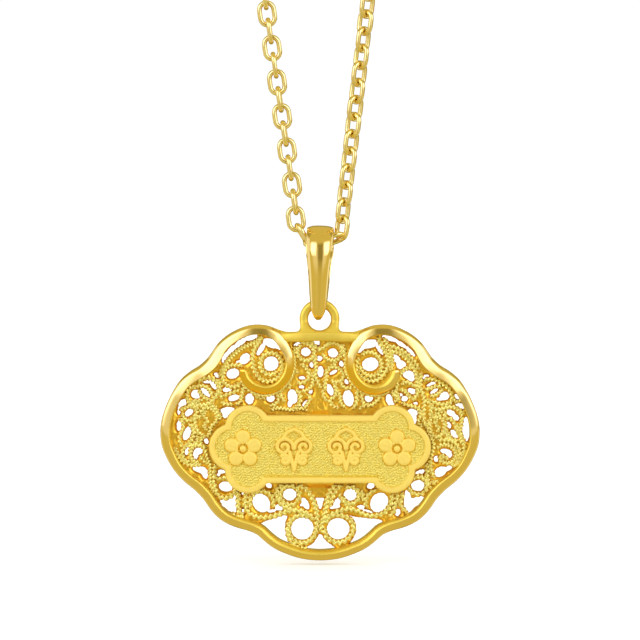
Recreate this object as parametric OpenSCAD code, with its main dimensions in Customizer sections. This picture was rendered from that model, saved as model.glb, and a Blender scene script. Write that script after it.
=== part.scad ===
// Lock-shaped openwork pendant with a tapered bail on a fine cable chain.
// Millimetres. X runs to the wearer's left as seen from the front, Z is up,
// the front of the pendant faces -Y. The origin is on the inside of the chain's
// top bend, straight above the pendant, where the chain hangs from its support.

/* [Pendant] */
// Overall width of the pendant body
pendant_w = 26; // [22:0.5:34]
// Depth of the polished rim, front to back
rim_d = 2.1; // [1.9:0.1:2.4]
// Depth of the openwork
filigree_d = 1.2; // [0.8:0.1:1.2]
// Thickness of the name plate's border
plaque_t = 0.8; // [0.6:0.1:0.9]
// Depth of the sunk field inside the plate's border
plaque_sink = 0.15; // [0.1:0.05:0.25]
// Height of the raised ornaments above the sunk field
ornament_h = 0.13; // [0.08:0.01:0.2]

/* [Bail] */
// Clear radius inside the round top of the bail
bail_top_r = 1.85; // [1.5:0.05:1.9]
// From the middle of the chain up to the inside of the bail's top
bail_clear = 1.1; // [1.05:0.05:1.3]
// Clear radius inside the foot of the bail, round the eyelet
bail_foot_r = 0.65; // [0.6:0.05:0.75]
// Thickness of the bail's ribbon
bail_t = 0.6; // [0.4:0.05:0.6]

/* [Chain] */
// Length of the closed chain, clasp included
chain_len = 450; // [400:10:600]
// Outer width of the chain's links
chain_d = 1.6; // [1.2:0.1:1.6]
// Lean of the left strand from the vertical
lean_left = 8.3; // [5:0.1:12]
// Lean of the right strand from the vertical
lean_right = 6.7; // [5:0.1:12]
// Outer radius of the round clasp
clasp_r = 2.6; // [2.4:0.1:3]

/* [Hidden] */
$fn = 64;

// drawing grid of the pendant: 320 steps across, u sideways, v up, v = 0 at the plate's middle
g = pendant_w / 320;
gap = 0.05;

// ---- heights, measured from the middle of the chain where it passes the bail
eye_drop = 73 * g;                    // down to the middle of the eyelet
eye_v = 129.5;                        // height of the eyelet's middle on the grid
apex = [2 * g, -144 * g];             // where the two straight strands would meet
fork = (lean_left + lean_right) / 2;
tilt = (lean_left - lean_right) / 2;
strand_skip = 18.5;                   // from the meeting point up to where the strands run straight
pass_len = 17.5;                      // chain below the straight strands, through the bail
top_r = (chain_len + 2 * strand_skip - pass_len) / (2 / tan(fork) + (180 + 2 * fork) * PI / 180);
top_dist = top_r / sin(fork);
// middle of the top bend, seen from the pass
top_c = apex + top_dist * [-sin(tilt), cos(tilt)];
// the origin lies on the inside of the top bend, straight above the pass
in_r = top_r - chain_d / 2;
pass_z = -(top_c[1] + sqrt(in_r * in_r - top_c[0] * top_c[0]));
eye_z = pass_z - eye_drop;
mid_z = eye_z - eye_v * g;            // height of the plate's middle

// ---- chain route near the bail, left half then right half, from the pass outwards
// columns: x, z
pass_left = [[-1, 0], [-1.55, 0.15], [-1.95, 0.7], [-2.05, 1.6], [-2.1, 3], [-2.25, 4.6]];
pass_right = [[1, 0], [1.55, 0.15], [1.95, 0.7], [2.02, 1.6], [2.04, 3], [2.12, 4.6]];
clasp_mid = 20;                       // place of the clasp, degrees past the top
clasp_arc = 2 * (clasp_r + 1.1) / top_r * 180 / PI;

function strand_pt(side, s) = side < 0
    ? apex + s * [-sin(lean_left), cos(lean_left)]
    : apex + s * [sin(lean_right), cos(lean_right)];
strand_end = top_r / tan(fork);
function arc_pt(a) = top_c + top_r * [sin(a), cos(a)];   // a = 0 at the top, clockwise
a_left = -90 - lean_left;
a_right = 90 + lean_right;
a_c0 = clasp_mid - clasp_arc / 2;
a_c1 = clasp_mid + clasp_arc / 2;
function reversed(l) = [for (i = [len(l) - 1:-1:0]) l[i]];
n_straight = 12;
route = concat(
    [for (i = [0:7]) arc_pt(a_c1 + (a_right - a_c1) * i / 13 )],
    [for (i = [8:13]) arc_pt(a_c1 + (a_right - a_c1) * i / 13)],
    [for (i = [1:n_straight]) strand_pt(1, strand_end + (strand_skip - strand_end) * i / n_straight)],
    reversed(pass_right), pass_left,
    [for (i = [0:n_straight - 1]) strand_pt(-1, strand_skip + (strand_end - strand_skip) * i / n_straight)],
    [for (i = [0:20]) arc_pt(a_left + (a_c0 - a_left) * i / 20)]);

// ---- rim: middle line of the left half, top to bottom
// columns: u, v, width
rim_rows = [
    [0, 113, 9.5], [20, 112, 10], [34, 112, 9.5], [43, 114, 10.5], [55, 118.5, 9.7],
    [67, 119, 9.6], [78, 116, 9.8], [89, 110, 10.3], [98, 102, 10.8], [104, 92.5, 12],
    [109, 85.5, 12.5], [117, 78.5, 12], [127, 72.5, 11.4], [136, 65, 10.8], [143, 54.5, 10.4],
    [148.5, 43.5, 10], [153, 31, 10], [155, 18, 10], [154, 5, 10], [149.5, -7, 9.8],
    [142.5, -19, 9.6], [133, -29, 9.8], [122, -37.5, 10], [112.5, -47, 10], [106, -56.5, 10],
    [99, -64.5, 9.8], [91, -70, 9.8], [81, -74, 10], [70, -77, 10], [60, -81.5, 10],
    [52.5, -88, 9.8], [45, -94, 9.6], [36.5, -98.5, 9.6], [19, -104.6, 9.6], [0, -106.7, 9.6]];
// scroll at the rim's top end, from the rim round to its free tip
// columns: u, v, width
tip_rows = [
    [38, 110, 8.5], [33, 101, 8], [31, 91, 7.8], [32, 82, 7.5], [36, 72.5, 7.3], [44, 64.5, 7],
    [54.5, 61.2, 7], [64.5, 64, 7], [71.5, 70, 7], [74.7, 77, 6.8], [74.8, 81, 6]];
// openings of the openwork, left half
// columns: u, v, length, width, turn
openings = [
    [94.5, 91.5, 10, 4, 62], [88, 99, 11, 4.4, 47], [79.5, 105.6, 11, 4.4, 36], [68.5, 110, 11, 4, 17],
    [75.5, 89.5, 12, 8.5, 58], [87.5, 74.5, 12.5, 9.5, 20], [107, 63, 9.5, 4.5, -58],
    [115, 56, 12, 5, -48], [124.5, 54, 9.5, 8.5, 0], [137, 44.5, 9.5, 6, 50],
    [131.5, 34.5, 9.5, 5.5, 40], [141, 22.5, 10.5, 4.2, 85], [133, 14, 14, 6.5, 68],
    [122.5, -4, 10.5, 8, 40], [93, 59, 9, 5, 12], [86.5, 50, 11, 5.5, 15], [71, 49, 10.5, 8, 90],
    [92.5, 37.5, 14, 6, 6], [49.5, 50, 7.8, 7.4, 0], [28, 51, 15, 9, -80], [14, 96.5, 9, 8.2, 0],
    [49, 104, 16, 7, -22], [60.5, 98.5, 11, 4, 58], [49, 85, 14, 14, 0], [119, -22, 14, 6, -14],
    [99, -24, 7, 3.6, -10], [94.5, -39, 13.2, 9.5, -8], [86.5, -56, 14, 7, -60],
    [59, -55.5, 19.5, 16, -55], [51, -37.5, 7.5, 5, -35],
    [30.5, -47, 12.8, 11.6, 0], [40.5, -61.5, 8.5, 4.5, 0], [14.5, -56, 12.5, 5.5, -62],
    [17.5, -81.5, 22, 22, 0], [42, -79.5, 22, 12, -50]];

function spline(p, i, t) = let (
    a = p[max(i - 1, 0)], b = p[i], c = p[i + 1], d = p[min(i + 2, len(p) - 1)])
    0.5 * (2 * b + (c - a) * t + (2 * a - 5 * b + 4 * c - d) * t * t + (3 * b - a - 3 * c + d) * t * t * t);
function smooth(p, n) = concat([for (i = [0:len(p) - 2], j = [0:n - 1]) spline(p, i, j / n)], [p[len(p) - 1]]);
function unit(v) = v / norm(v);
function mirror_u(p) = [for (r = reversed(p)) [-r[0], r[1], r[2]]];
function left_of(p) = [for (r = p) [-r[0], r[1], r[2]]];

// closed ring of stations: left half down, right half up again
rim_half = smooth(rim_rows, 2);
rim_line = let (n = len(rim_half)) concat(left_of(rim_half), [for (i = [n - 2:-1:1]) rim_half[i]]);
function ring_normal(p, i) = let (n = len(p), a = p[(i + n - 1) % n], b = p[(i + 1) % n], t = unit([b[0] - a[0], b[1] - a[1]])) [-t[1], t[0]];
function line_normal(p, i) = let (a = p[max(i - 1, 0)], b = p[min(i + 1, len(p) - 1)], t = unit([b[0] - a[0], b[1] - a[1]])) [-t[1], t[0]];

// half-round section, columns: across, depth (front is -1)
rim_sec = [[-0.5, 0.7], [-0.5, -0.3], [-0.38, -0.75], [-0.14, -1], [0.14, -1], [0.38, -0.75], [0.5, -0.3], [0.5, 0.7], [0.38, 1], [-0.38, 1]];

module sweep_ring(p, sec, half_d, y0) {
    n = len(p); m = len(sec);
    pts = [for (i = [0:n - 1]) let (q = ring_normal(p, i)) for (s = sec)
        [g * (p[i][0] + q[0] * s[0] * p[i][2]), y0 + s[1] * half_d, mid_z + g * (p[i][1] + q[1] * s[0] * p[i][2])]];
    faces = [for (i = [0:n - 1], j = [0:m - 1]) let (a = i * m + j, b = i * m + (j + 1) % m,
        c = ((i + 1) % n) * m + (j + 1) % m, d = ((i + 1) % n) * m + j) each [[a, b, c], [a, c, d]]];
    polyhedron(pts, faces, convexity = 6);
}
module sweep_line(p, sec, half_d, y0) {
    n = len(p); m = len(sec);
    pts = [for (i = [0:n - 1]) let (q = line_normal(p, i)) for (s = sec)
        [g * (p[i][0] + q[0] * s[0] * p[i][2]), y0 + s[1] * half_d, mid_z + g * (p[i][1] + q[1] * s[0] * p[i][2])]];
    faces = concat([for (i = [0:n - 2], j = [0:m - 1]) let (a = i * m + j, b = i * m + (j + 1) % m,
        c = (i + 1) * m + (j + 1) % m, d = (i + 1) * m + j) each [[a, b, c], [a, c, d]]],
        [[for (j = [m - 1:-1:0]) j]], [[for (j = [0:m - 1]) (n - 1) * m + j]]);
    polyhedron(pts, faces, convexity = 6);
}
// flat drawing on the grid, turned upright: drawing x = X, drawing y = Z, from y0 back to y1
module upright(y0, y1, z0 = mid_z) translate([0, y1, z0]) rotate([90, 0, 0]) linear_extrude(y1 - y0) children();

module eyelet() {
    w = 0.85;
    translate([0, 0, eye_z]) {
        difference() {
            union() {
                rotate([90, 0, 0]) cylinder(r = 20 * g, h = w, center = true);
                translate([0, w / 2, 0]) rotate([90, 0, 0]) linear_extrude(w)
                    polygon(g * [[-19.5, -4], [-21, -9], [-26, -13.5], [-26, -17], [26, -17], [26, -13.5], [21, -9], [19.5, -4]]);
            }
            rotate([90, 0, 0]) cylinder(r = 11.5 * g, h = 3, center = true);
        }
    }
}
module rim() color([0.92, 0.76, 0.28]) {
    sweep_ring(rim_line, rim_sec, rim_d / 2, 0);
    sweep_line(smooth(left_of(tip_rows), 2), rim_sec, 0.28, -0.78);
    sweep_line(smooth(tip_rows, 2), [for (s = reversed(rim_sec)) [-s[0], s[1]]], 0.28, -0.78);
    eyelet();
}

function inner_edge() = [for (i = [0:len(rim_line) - 1]) let (q = ring_normal(rim_line, i), w = rim_line[i][2] / 2 + gap / g)
    g * [rim_line[i][0] + q[0] * w, rim_line[i][1] + q[1] * w]];
module oval(r) translate(g * [r[0], r[1]]) rotate(r[4]) polygon([for (i = [0:15]) g / 2 * [r[2] * cos(i * 22.5), r[3] * sin(i * 22.5)]]);
module filigree() color([0.88, 0.66, 0.16])
    upright(filigree_d / 2 + 0.15 - filigree_d, filigree_d / 2 + 0.15)
        offset(delta = -0.001) difference() {
            polygon(inner_edge());
            for (r = openings) {
                oval([-r[0], r[1], r[2], r[3], r[4]]);
                oval([r[0], r[1], r[2], r[3], -r[4]]);
            }
            oval([0, 104, 15, 4.4, 0]);
            oval([0, 77, 11, 5.6, 90]);
            oval([0, -95, 10, 6, 90]);
            oval([0, -63, 11, 4, 90]);
            support_2d(gap);
        }

// outline of the plate behind the name plate that carries it
module support_2d(d) polygon([[0, 60 * g + d], [-9 * g - d, 32 * g], [-15 * g - d, -34 * g], [-4.5 * g - d, -50 * g - d],
    [4.5 * g + d, -50 * g - d], [15 * g + d, -34 * g], [9 * g + d, 32 * g]]);
module support() color([0.86, 0.62, 0.12]) upright(-0.7, 0.3) support_2d(0);

module plaque_2d(d) {
    for (sx = [-1, 1]) {
        for (sz = [-1, 1]) translate(g * [sx * 72, sz * 21]) circle(r = 23 * g - d);
        translate(g * [sx * 87, 2]) circle(r = 24 * g - d);
    }
    square([144 * g, 68 * g - 2 * d], center = true);
}
module blossom(r) {
    circle(r = r * 0.34, $fn = 24);
    for (i = [0:4]) rotate(90 + i * 72) translate([r * 0.62, 0]) circle(r = r * 0.36, $fn = 24);
}
module cloud(r) {
    for (sx = [-1, 1]) {
        translate([sx * r * 0.5, 0.2 * r]) circle(r = r * 0.42, $fn = 24);
        translate([sx * r * 0.72, -0.35 * r]) circle(r = r * 0.26, $fn = 24);
    }
    translate([0, 0.62 * r]) circle(r = r * 0.34, $fn = 24);
    polygon(r * [[-0.5, 0.1], [0.5, 0.1], [0.28, -0.5], [0, -0.95], [-0.28, -0.5]]);
}
module plaque() color([0.95, 0.84, 0.4]) {
    back = -0.76;
    difference() {
        upright(back - plaque_t, back) plaque_2d(0);
        upright(back - plaque_t - 1, back - plaque_t + plaque_sink) plaque_2d(6 * g);
    }
    for (u = [-77, 77]) upright(back - plaque_t + plaque_sink - ornament_h, back - plaque_t + plaque_sink + 0.1, mid_z + 1 * g) translate([u * g, 0]) blossom(19 * g);
    for (u = [-26, 26]) upright(back - plaque_t + plaque_sink - ornament_h, back - plaque_t + plaque_sink + 0.1, mid_z) translate([u * g, 0]) cloud(19 * g);
}

// side outline of the bail: two rounds and their common tangents, middle heights za above zb
module loop_2d(ra, rb, za, zb) {
    d = za - zb; s = (ra - rb) / d; c = sqrt(1 - s * s);
    translate([0, za]) circle(r = ra);
    translate([0, zb]) circle(r = rb);
    polygon([[ra * c, za - ra * s], [-ra * c, za - ra * s], [-rb * c, zb - rb * s], [rb * c, zb - rb * s]]);
}
// front outline of the bail, from the middle of the chain; columns: half width, height
bail_half = [[8, 21.8], [11, 19], [12.6, 15.5], [13.5, 10], [13.5, -3], [13, -13], [12, -21.5], [10.6, -33.5], [9.3, -46.5],
    [8.5, -54.5], [7.5, -58.5], [6.4, -62.5], [4.85, -66.5], [2.7, -70.5], [0.6, -74]];
module bail() color([0.95, 0.8, 0.3]) {
    za = bail_clear - bail_top_r;
    zb = -eye_drop + 1.25;
    foot_t = 0.6;
    translate([0, 0, pass_z]) intersection() {
        difference() {
            translate([-3, 0, 0]) rotate([90, 0, 90]) linear_extrude(6) {
                loop_2d(bail_top_r + bail_t, bail_foot_r + bail_t, za, zb);
                translate([0, zb - foot_t + bail_t]) circle(r = bail_foot_r + bail_t);
            }
            translate([-4, 0, 0]) rotate([90, 0, 90]) linear_extrude(8) loop_2d(bail_top_r, bail_foot_r, za, zb);
        }
        translate([0, 3, 0]) rotate([90, 0, 0]) linear_extrude(6)
            polygon(g * concat([for (r = bail_half) [-r[0], r[1]]], reversed(bail_half)));
    }
}

// round tube along the route, eight sides
module chain() color([0.9, 0.72, 0.25]) {
    n = len(route); m = 8; r = chain_d / 2;
    pts = [for (i = [0:n - 1]) let (q = line_normal(route, i)) for (j = [0:m - 1])
        let (a = 22.5 + j * 45) [route[i][0] + q[0] * r * cos(a), r * sin(a), pass_z + route[i][1] + q[1] * r * cos(a)]];
    faces = concat([for (i = [0:n - 2], j = [0:m - 1]) let (a = i * m + j, b = i * m + (j + 1) % m,
        c = (i + 1) * m + (j + 1) % m, d = (i + 1) * m + j) each [[a, c, b], [a, d, c]]],
        [[for (j = [0:m - 1]) j]], [[for (j = [m - 1:-1:0]) (n - 1) * m + j]]);
    polyhedron(pts, faces, convexity = 8);
}
// closed round clasp with a small eye on each side
module clasp() color([0.9, 0.74, 0.3])
    translate([top_c[0] + top_r * sin(clasp_mid), 0, pass_z + top_c[1] + top_r * cos(clasp_mid)]) rotate([0, clasp_mid, 0]) {
        rotate([90, 0, 0]) rotate_extrude() translate([clasp_r - 0.55, 0]) circle(r = 0.55, $fn = 32);
        for (s = [-1, 1]) translate([s * (clasp_r + 0.45), 0, 0]) rotate([0, 90, 0]) cylinder(r = 0.45, h = 1.1, center = true);
    }

chain();
clasp();
bail();
rim();
filigree();
plaque();
support();
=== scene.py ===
"""Looks of the openwork pendant on its chain. Lengths are worked in millimetres and written in metres.

Drawing grid: u runs to the right and v down, 320 steps across the pendant, as in the pendant's front view.
"""
import math

import bpy
import numpy as np
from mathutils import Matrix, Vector


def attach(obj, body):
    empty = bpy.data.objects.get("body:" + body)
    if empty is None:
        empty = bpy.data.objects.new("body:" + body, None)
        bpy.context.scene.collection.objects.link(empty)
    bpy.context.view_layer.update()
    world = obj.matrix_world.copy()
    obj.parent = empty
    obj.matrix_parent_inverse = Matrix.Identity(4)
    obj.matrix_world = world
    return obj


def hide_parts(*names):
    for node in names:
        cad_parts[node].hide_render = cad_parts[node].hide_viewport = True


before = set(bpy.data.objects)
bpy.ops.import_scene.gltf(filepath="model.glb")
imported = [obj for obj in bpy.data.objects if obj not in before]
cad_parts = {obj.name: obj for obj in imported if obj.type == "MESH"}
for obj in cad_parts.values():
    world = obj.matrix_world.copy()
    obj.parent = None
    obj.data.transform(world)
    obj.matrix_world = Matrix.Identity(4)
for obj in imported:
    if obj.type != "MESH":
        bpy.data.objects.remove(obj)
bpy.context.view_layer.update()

# ---------------------------------------------------------------- numbers shared with the CAD
G = 26.0 / 320.0                     # millimetres per grid step
PASS_Z = -206.0369                   # middle of the chain where it passes the bail
TOP_R = 25.24886                     # radius of the chain's top bend
TOP_C = (-2.53833, 181.72016)        # its middle, seen from the pass
LEAN_L, LEAN_R = math.radians(8.3), math.radians(6.7)
CX, CY = 320.0, 246.5                # grid place of the pass


def gx(x):
    return (np.asarray(x, float) - CX) * G


def gz(y):
    return PASS_Z - (np.asarray(y, float) - CY) * G


def smoothstep(a, b, t):
    t = np.clip((t - a) / (b - a), 0, 1)
    return t * t * (3 - 2 * t)


# ---------------------------------------------------------------- camera
ELEV = math.radians(2.0)
LENS, SENSOR = 200.0, 36.0
SPAN = 640 * G
DIST = SPAN * LENS / SENSOR
target = Vector((0, -0.8, float(gz(320)))) * 0.001
cam_data = bpy.data.cameras.new("Camera")
cam_data.lens, cam_data.sensor_width = LENS, SENSOR
cam_data.clip_start, cam_data.clip_end = 0.005, 5
cam = bpy.data.objects.new("Camera", cam_data)
bpy.context.scene.collection.objects.link(cam)
cam.location = target + Vector((0, -math.cos(ELEV), math.sin(ELEV))) * DIST * 0.001
cam.rotation_euler = (target - cam.location).to_track_quat("-Z", "Y").to_euler()
bpy.context.scene.camera = cam


# ---------------------------------------------------------------- mesh tools
def make(name, V, F, body, nodes=(), sharp=None):
    """Object from points in millimetres and a list of faces."""
    me = bpy.data.meshes.new(name)
    V = np.asarray(V, float) * 0.001
    me.from_pydata(V.tolist(), [], F)
    me.validate()
    me.update()
    me.shade_smooth()
    if sharp:
        me.set_sharp_from_angle(angle=math.radians(sharp))
    ob = bpy.data.objects.new(name, me)
    bpy.context.scene.collection.objects.link(ob)
    if body:
        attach(ob, body)
    if nodes:
        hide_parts(*nodes)
    return ob


def curve(rows, step, closed=False):
    """Catmull-Rom through the rows, resampled to equal steps of length."""
    P = np.asarray(rows, float)
    n = len(P)
    if closed:
        ext = np.vstack([P[-1], P, P[0], P[1]])
        m = n
    else:
        ext = np.vstack([2 * P[0] - P[1], P, 2 * P[-1] - P[-2]])
        m = n - 1
    t = np.linspace(0, 1, 24, endpoint=False)[:, None]
    out = []
    for i in range(m):
        a, b, c, d = ext[i], ext[i + 1], ext[i + 2], ext[i + 3]
        out.append(0.5 * (2 * b + (c - a) * t + (2 * a - 5 * b + 4 * c - d) * t ** 2 + (3 * b - a - 3 * c + d) * t ** 3))
    Q = np.vstack(out + [P[:1] if closed else P[-1:]])
    s = np.concatenate([[0], np.cumsum(np.linalg.norm(np.diff(Q[:, :2], axis=0), axis=1))])
    k = max(4, int(round(s[-1] / step)))
    w = np.linspace(0, s[-1], k + 1)
    if closed:
        w = w[:-1]
    return np.stack([np.interp(w, s, Q[:, j]) for j in range(Q.shape[1])], 1), s[-1]


def normals(P, closed=False):
    if closed:
        T = np.roll(P, -1, 0) - np.roll(P, 1, 0)
    else:
        T = np.gradient(P, axis=0)
    T = T / np.linalg.norm(T, axis=1)[:, None]
    return np.stack([-T[:, 1], T[:, 0]], 1)


def grid_faces(n, m, closed_n, closed_m=True):
    """Quads of an n by m lattice of points."""
    i = np.arange(n if closed_n else n - 1)
    j = np.arange(m if closed_m else m - 1)
    I, J = np.meshgrid(i, j, indexing="ij")
    a = I * m + J
    b = I * m + (J + 1) % m
    c = ((I + 1) % n) * m + (J + 1) % m
    d = ((I + 1) % n) * m + J
    return np.stack([a, b, c, d], -1).reshape(-1, 4)


def outward(V, F):
    """Faces turned so that the closed mesh's volume is positive."""
    V = np.asarray(V, float)
    F = np.asarray(F)
    a, b, c = V[F[:, 0]], V[F[:, 1]], V[F[:, 2]]
    vol = np.einsum("ij,ij->i", a, np.cross(b, c)).sum()
    if F.shape[1] == 4:
        d = V[F[:, 3]]
        vol += np.einsum("ij,ij->i", a, np.cross(c, d)).sum()
    return F if vol > 0 else F[:, ::-1]


def sweep_flat(P, W, section, closed, caps=True):
    """Sweeps a section, rows of (across, depth), along a line in the X-Z plane. P in millimetres, W the width at each point."""
    N = normals(P, closed)
    n = len(P)
    V = []
    for i in range(n):
        sec = section(i)
        x = P[i, 0] + N[i, 0] * sec[:, 0] * W[i]
        z = P[i, 1] + N[i, 1] * sec[:, 0] * W[i]
        V.append(np.stack([x, sec[:, 1], z], 1))
    m = len(V[0])
    V = np.vstack(V)
    F = grid_faces(n, m, closed)
    if closed or not caps:
        return V, outward(V, F).tolist()
    F = outward(V, F).tolist()
    return V, F + [list(range(m)), list(range((n - 1) * m, n * m))]


class Bag:
    """Collects several meshes into one."""

    def __init__(self):
        self.V, self.F, self.n = [], [], 0

    def add(self, V, F):
        F = F if isinstance(F, list) else np.asarray(F).tolist()
        self.F.extend([[k + self.n for k in f] for f in F])
        self.V.append(np.asarray(V, float))
        self.n += len(V)

    def points(self):
        return np.vstack(self.V)


# ---------------------------------------------------------------- signed distances on the grid
def d_oval(X, Y, x, y, length, width, turn):
    """Distance outside an oval, grid steps. turn is counted from +x, upwards."""
    t = math.radians(turn)
    a, b = length / 2, width / 2
    px = (X - x) * math.cos(t) - (Y - y) * math.sin(t)
    py = (X - x) * math.sin(t) + (Y - y) * math.cos(t)
    k0 = np.sqrt((px / a) ** 2 + (py / b) ** 2)
    k1 = np.sqrt((px / a ** 2) ** 2 + (py / b ** 2) ** 2)
    return np.where(k1 < 1e-6, -min(a, b), k0 * (k0 - 1) / np.maximum(k1, 1e-6))


def d_poly(X, Y, P):
    """Signed distance to a polygon, negative inside."""
    P = np.asarray(P, float)
    best = np.full(X.shape, 1e9)
    inside = np.zeros(X.shape, bool)
    for (ax, ay), (bx, by) in zip(P, np.roll(P, -1, 0)):
        ex, ey = bx - ax, by - ay
        wx, wy = X - ax, Y - ay
        t = np.clip((wx * ex + wy * ey) / (ex * ex + ey * ey + 1e-12), 0, 1)
        best = np.minimum(best, np.hypot(wx - ex * t, wy - ey * t))
        cond = (ay > Y) != (by > Y)
        with np.errstate(divide="ignore", invalid="ignore"):
            xc = (bx - ax) * (Y - ay) / (by - ay) + ax
        inside ^= cond & (X < xc)
    return np.where(inside, -best, best)


def d_line(X, Y, P):
    """Distance to an open line of points."""
    best = np.full(X.shape, 1e9)
    for (ax, ay), (bx, by) in zip(P[:-1], P[1:]):
        ex, ey = bx - ax, by - ay
        wx, wy = X - ax, Y - ay
        t = np.clip((wx * ex + wy * ey) / (ex * ex + ey * ey + 1e-12), 0, 1)
        best = np.minimum(best, np.hypot(wx - ex * t, wy - ey * t))
    return best


def smin(a, b, k):
    h = np.clip(0.5 + 0.5 * (b - a) / k, 0, 1)
    return b * (1 - h) + a * h - k * h * (1 - h)


def plate(sdf, box, h, front, back):
    """Solid plate from a signed distance on the grid, positive inside. front and back give the depth in millimetres from (x, y, distance)."""
    x0, y0, x1, y1 = box
    xs = np.arange(x0, x1 + h / 2, h)
    ys = np.arange(y0, y1 + h / 2, h)
    X, Y = np.meshgrid(xs, ys)
    S = sdf(X, Y)
    S = np.where(np.abs(S) < 0.04 * h, 0.04 * h, S)
    inside = S > 0
    ny, nx = S.shape
    vid = -np.ones(S.shape, int)
    vid[inside] = np.arange(inside.sum())
    pts = [np.stack([X[inside], Y[inside], S[inside]], 1)]
    n0 = int(inside.sum())
    # crossings on horizontal and vertical edges
    he = -np.ones((ny, nx - 1), int)
    cr = inside[:, :-1] != inside[:, 1:]
    t = S[:, :-1] / (S[:, :-1] - S[:, 1:] + (~cr) * 1e9)
    he[cr] = n0 + np.arange(cr.sum())
    pts.append(np.stack([(X[:, :-1] + t * h)[cr], Y[:, :-1][cr], np.zeros(cr.sum())], 1))
    n1 = n0 + int(cr.sum())
    ve = -np.ones((ny - 1, nx), int)
    cr = inside[:-1] != inside[1:]
    t = S[:-1] / (S[:-1] - S[1:] + (~cr) * 1e9)
    ve[cr] = n1 + np.arange(cr.sum())
    pts.append(np.stack([X[:-1][cr], (Y[:-1] + t * h)[cr], np.zeros(cr.sum())], 1))
    P = np.vstack(pts)
    a, b, c, d = inside[:-1, :-1], inside[:-1, 1:], inside[1:, 1:], inside[1:, :-1]
    full = a & b & c & d
    J, I = np.nonzero(full)
    # seen from the front (x right, y down): a, d, c, b runs the right way round
    quads = np.stack([vid[J, I], vid[J + 1, I], vid[J + 1, I + 1], vid[J, I + 1]], 1).tolist()
    some = (a | b | c | d) & ~full
    polys, walls = [], []
    for j, i in zip(*np.nonzero(some)):
        corner = [(j, i), (j + 1, i), (j + 1, i + 1), (j, i + 1)]
        edge = [ve[j, i], he[j + 1, i], ve[j, i + 1], he[j, i]]
        ring, kinds = [], []
        for k in range(4):
            if inside[corner[k]]:
                ring.append(vid[corner[k]])
                kinds.append(0)
            if edge[k] >= 0:
                ring.append(edge[k])
                kinds.append(1)
        if sum(kinds) == 4 and len(ring) == 6 and inside[corner[0]] == inside[corner[2]]:
            # two opposite corners: two triangles
            for k in range(6):
                if kinds[k] == 0:
                    tri = [ring[k - 1], ring[k], ring[(k + 1) % 6]]
                    polys.append(tri)
                    walls.append((tri[2], tri[0]))
            continue
        polys.append(ring)
        m = len(ring)
        for k in range(m):
            if kinds[k] and kinds[(k + 1) % m]:
                walls.append((ring[k], ring[(k + 1) % m]))
    faces = quads + polys
    used = np.zeros(len(P), bool)
    for f in faces:
        used[f] = True
    new = np.cumsum(used) - 1
    faces = [[int(new[k]) for k in f] for f in faces]
    walls = [(int(new[p]), int(new[q])) for p, q in walls]
    P = P[used]
    n = len(P)
    x, z = gx(P[:, 0]), gz(P[:, 1])
    Vf = np.stack([x, front(P[:, 0], P[:, 1], P[:, 2]), z], 1)
    Vb = np.stack([x, back(P[:, 0], P[:, 1], P[:, 2]), z], 1)
    F = faces + [[k + n for k in reversed(f)] for f in faces] + [[q, p, p + n, q + n] for p, q in walls]
    return np.vstack([Vf, Vb]), F


# ---------------------------------------------------------------- tables of the pendant, grid steps
# rim: middle line of the left half, top to bottom; x, y, width
RIM = [(320, 336, 9.5), (300, 337, 10), (286, 337, 9.5), (277, 335, 10.5), (265, 330.5, 9.7), (253, 330, 9.6),
       (242, 333, 9.8), (231, 339, 10.3), (222, 347, 10.8), (216, 356.5, 12), (211, 363.5, 12.5), (203, 370.5, 12),
       (193, 376.5, 11.4), (184, 384, 10.8), (177, 394.5, 10.4), (171.5, 405.5, 10), (167, 418, 10), (165, 431, 10),
       (166, 444, 10), (170.5, 456, 9.8), (177.5, 468, 9.6), (187, 478, 9.8), (198, 486.5, 10), (207.5, 496, 10),
       (214, 505.5, 10), (221, 513.5, 9.8), (229, 519, 9.8), (239, 523, 10), (250, 526, 10), (260, 530.5, 10),
       (267.5, 537, 9.8), (275, 543, 9.6), (283.5, 547.5, 9.6), (301, 553.6, 9.6), (320, 555.7, 9.6)]
# scroll at the rim's top end, round to its free tip; x, y, width, share of the width that is the bright inner bevel
TIP = [(258.94, 329.8, 9.65, 0.05), (265, 330.5, 9.7, 0.05), (271, 332.5, 10.1, 0.06), (276.5, 335.6, 10.5, 0.06), (280.8, 340, 10.7, 0.06), (284.2, 345.2, 10.7, 0.08), (287, 351, 10.4, 0.14),
       (289.3, 359, 9.6, 0.26), (289, 367.8, 9.4, 0.28), (285.2, 378, 9.2, 0.28), (276.7, 387, 9.2, 0.28), (265.3, 390, 9.4, 0.28),
       (254, 387, 9.4, 0.28), (246.4, 380.4, 9.2, 0.30), (243.4, 372.6, 8.8, 0.32), (243.8, 368, 8.2, 0.36)]
TIP_R = [(381.06, 329.8, 9.65, 0.05), (375, 330.5, 9.7, 0.05), (369, 332.5, 10.1, 0.06), (363.5, 335.6, 10.5, 0.06), (359.2, 340, 10.7, 0.06), (355.8, 345.2, 10.7, 0.08), (353, 351, 10.4, 0.14),
         (350.8, 359, 9.6, 0.26), (351, 367.8, 9.4, 0.28), (354.8, 378.2, 9.6, 0.28), (363.4, 387, 10, 0.30), (374.7, 390.2, 10.4, 0.34),
         (386, 387, 11, 0.42), (393, 379.4, 11, 0.48), (395.3, 372.3, 10, 0.5), (395, 368.5, 9, 0.5)]
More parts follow.
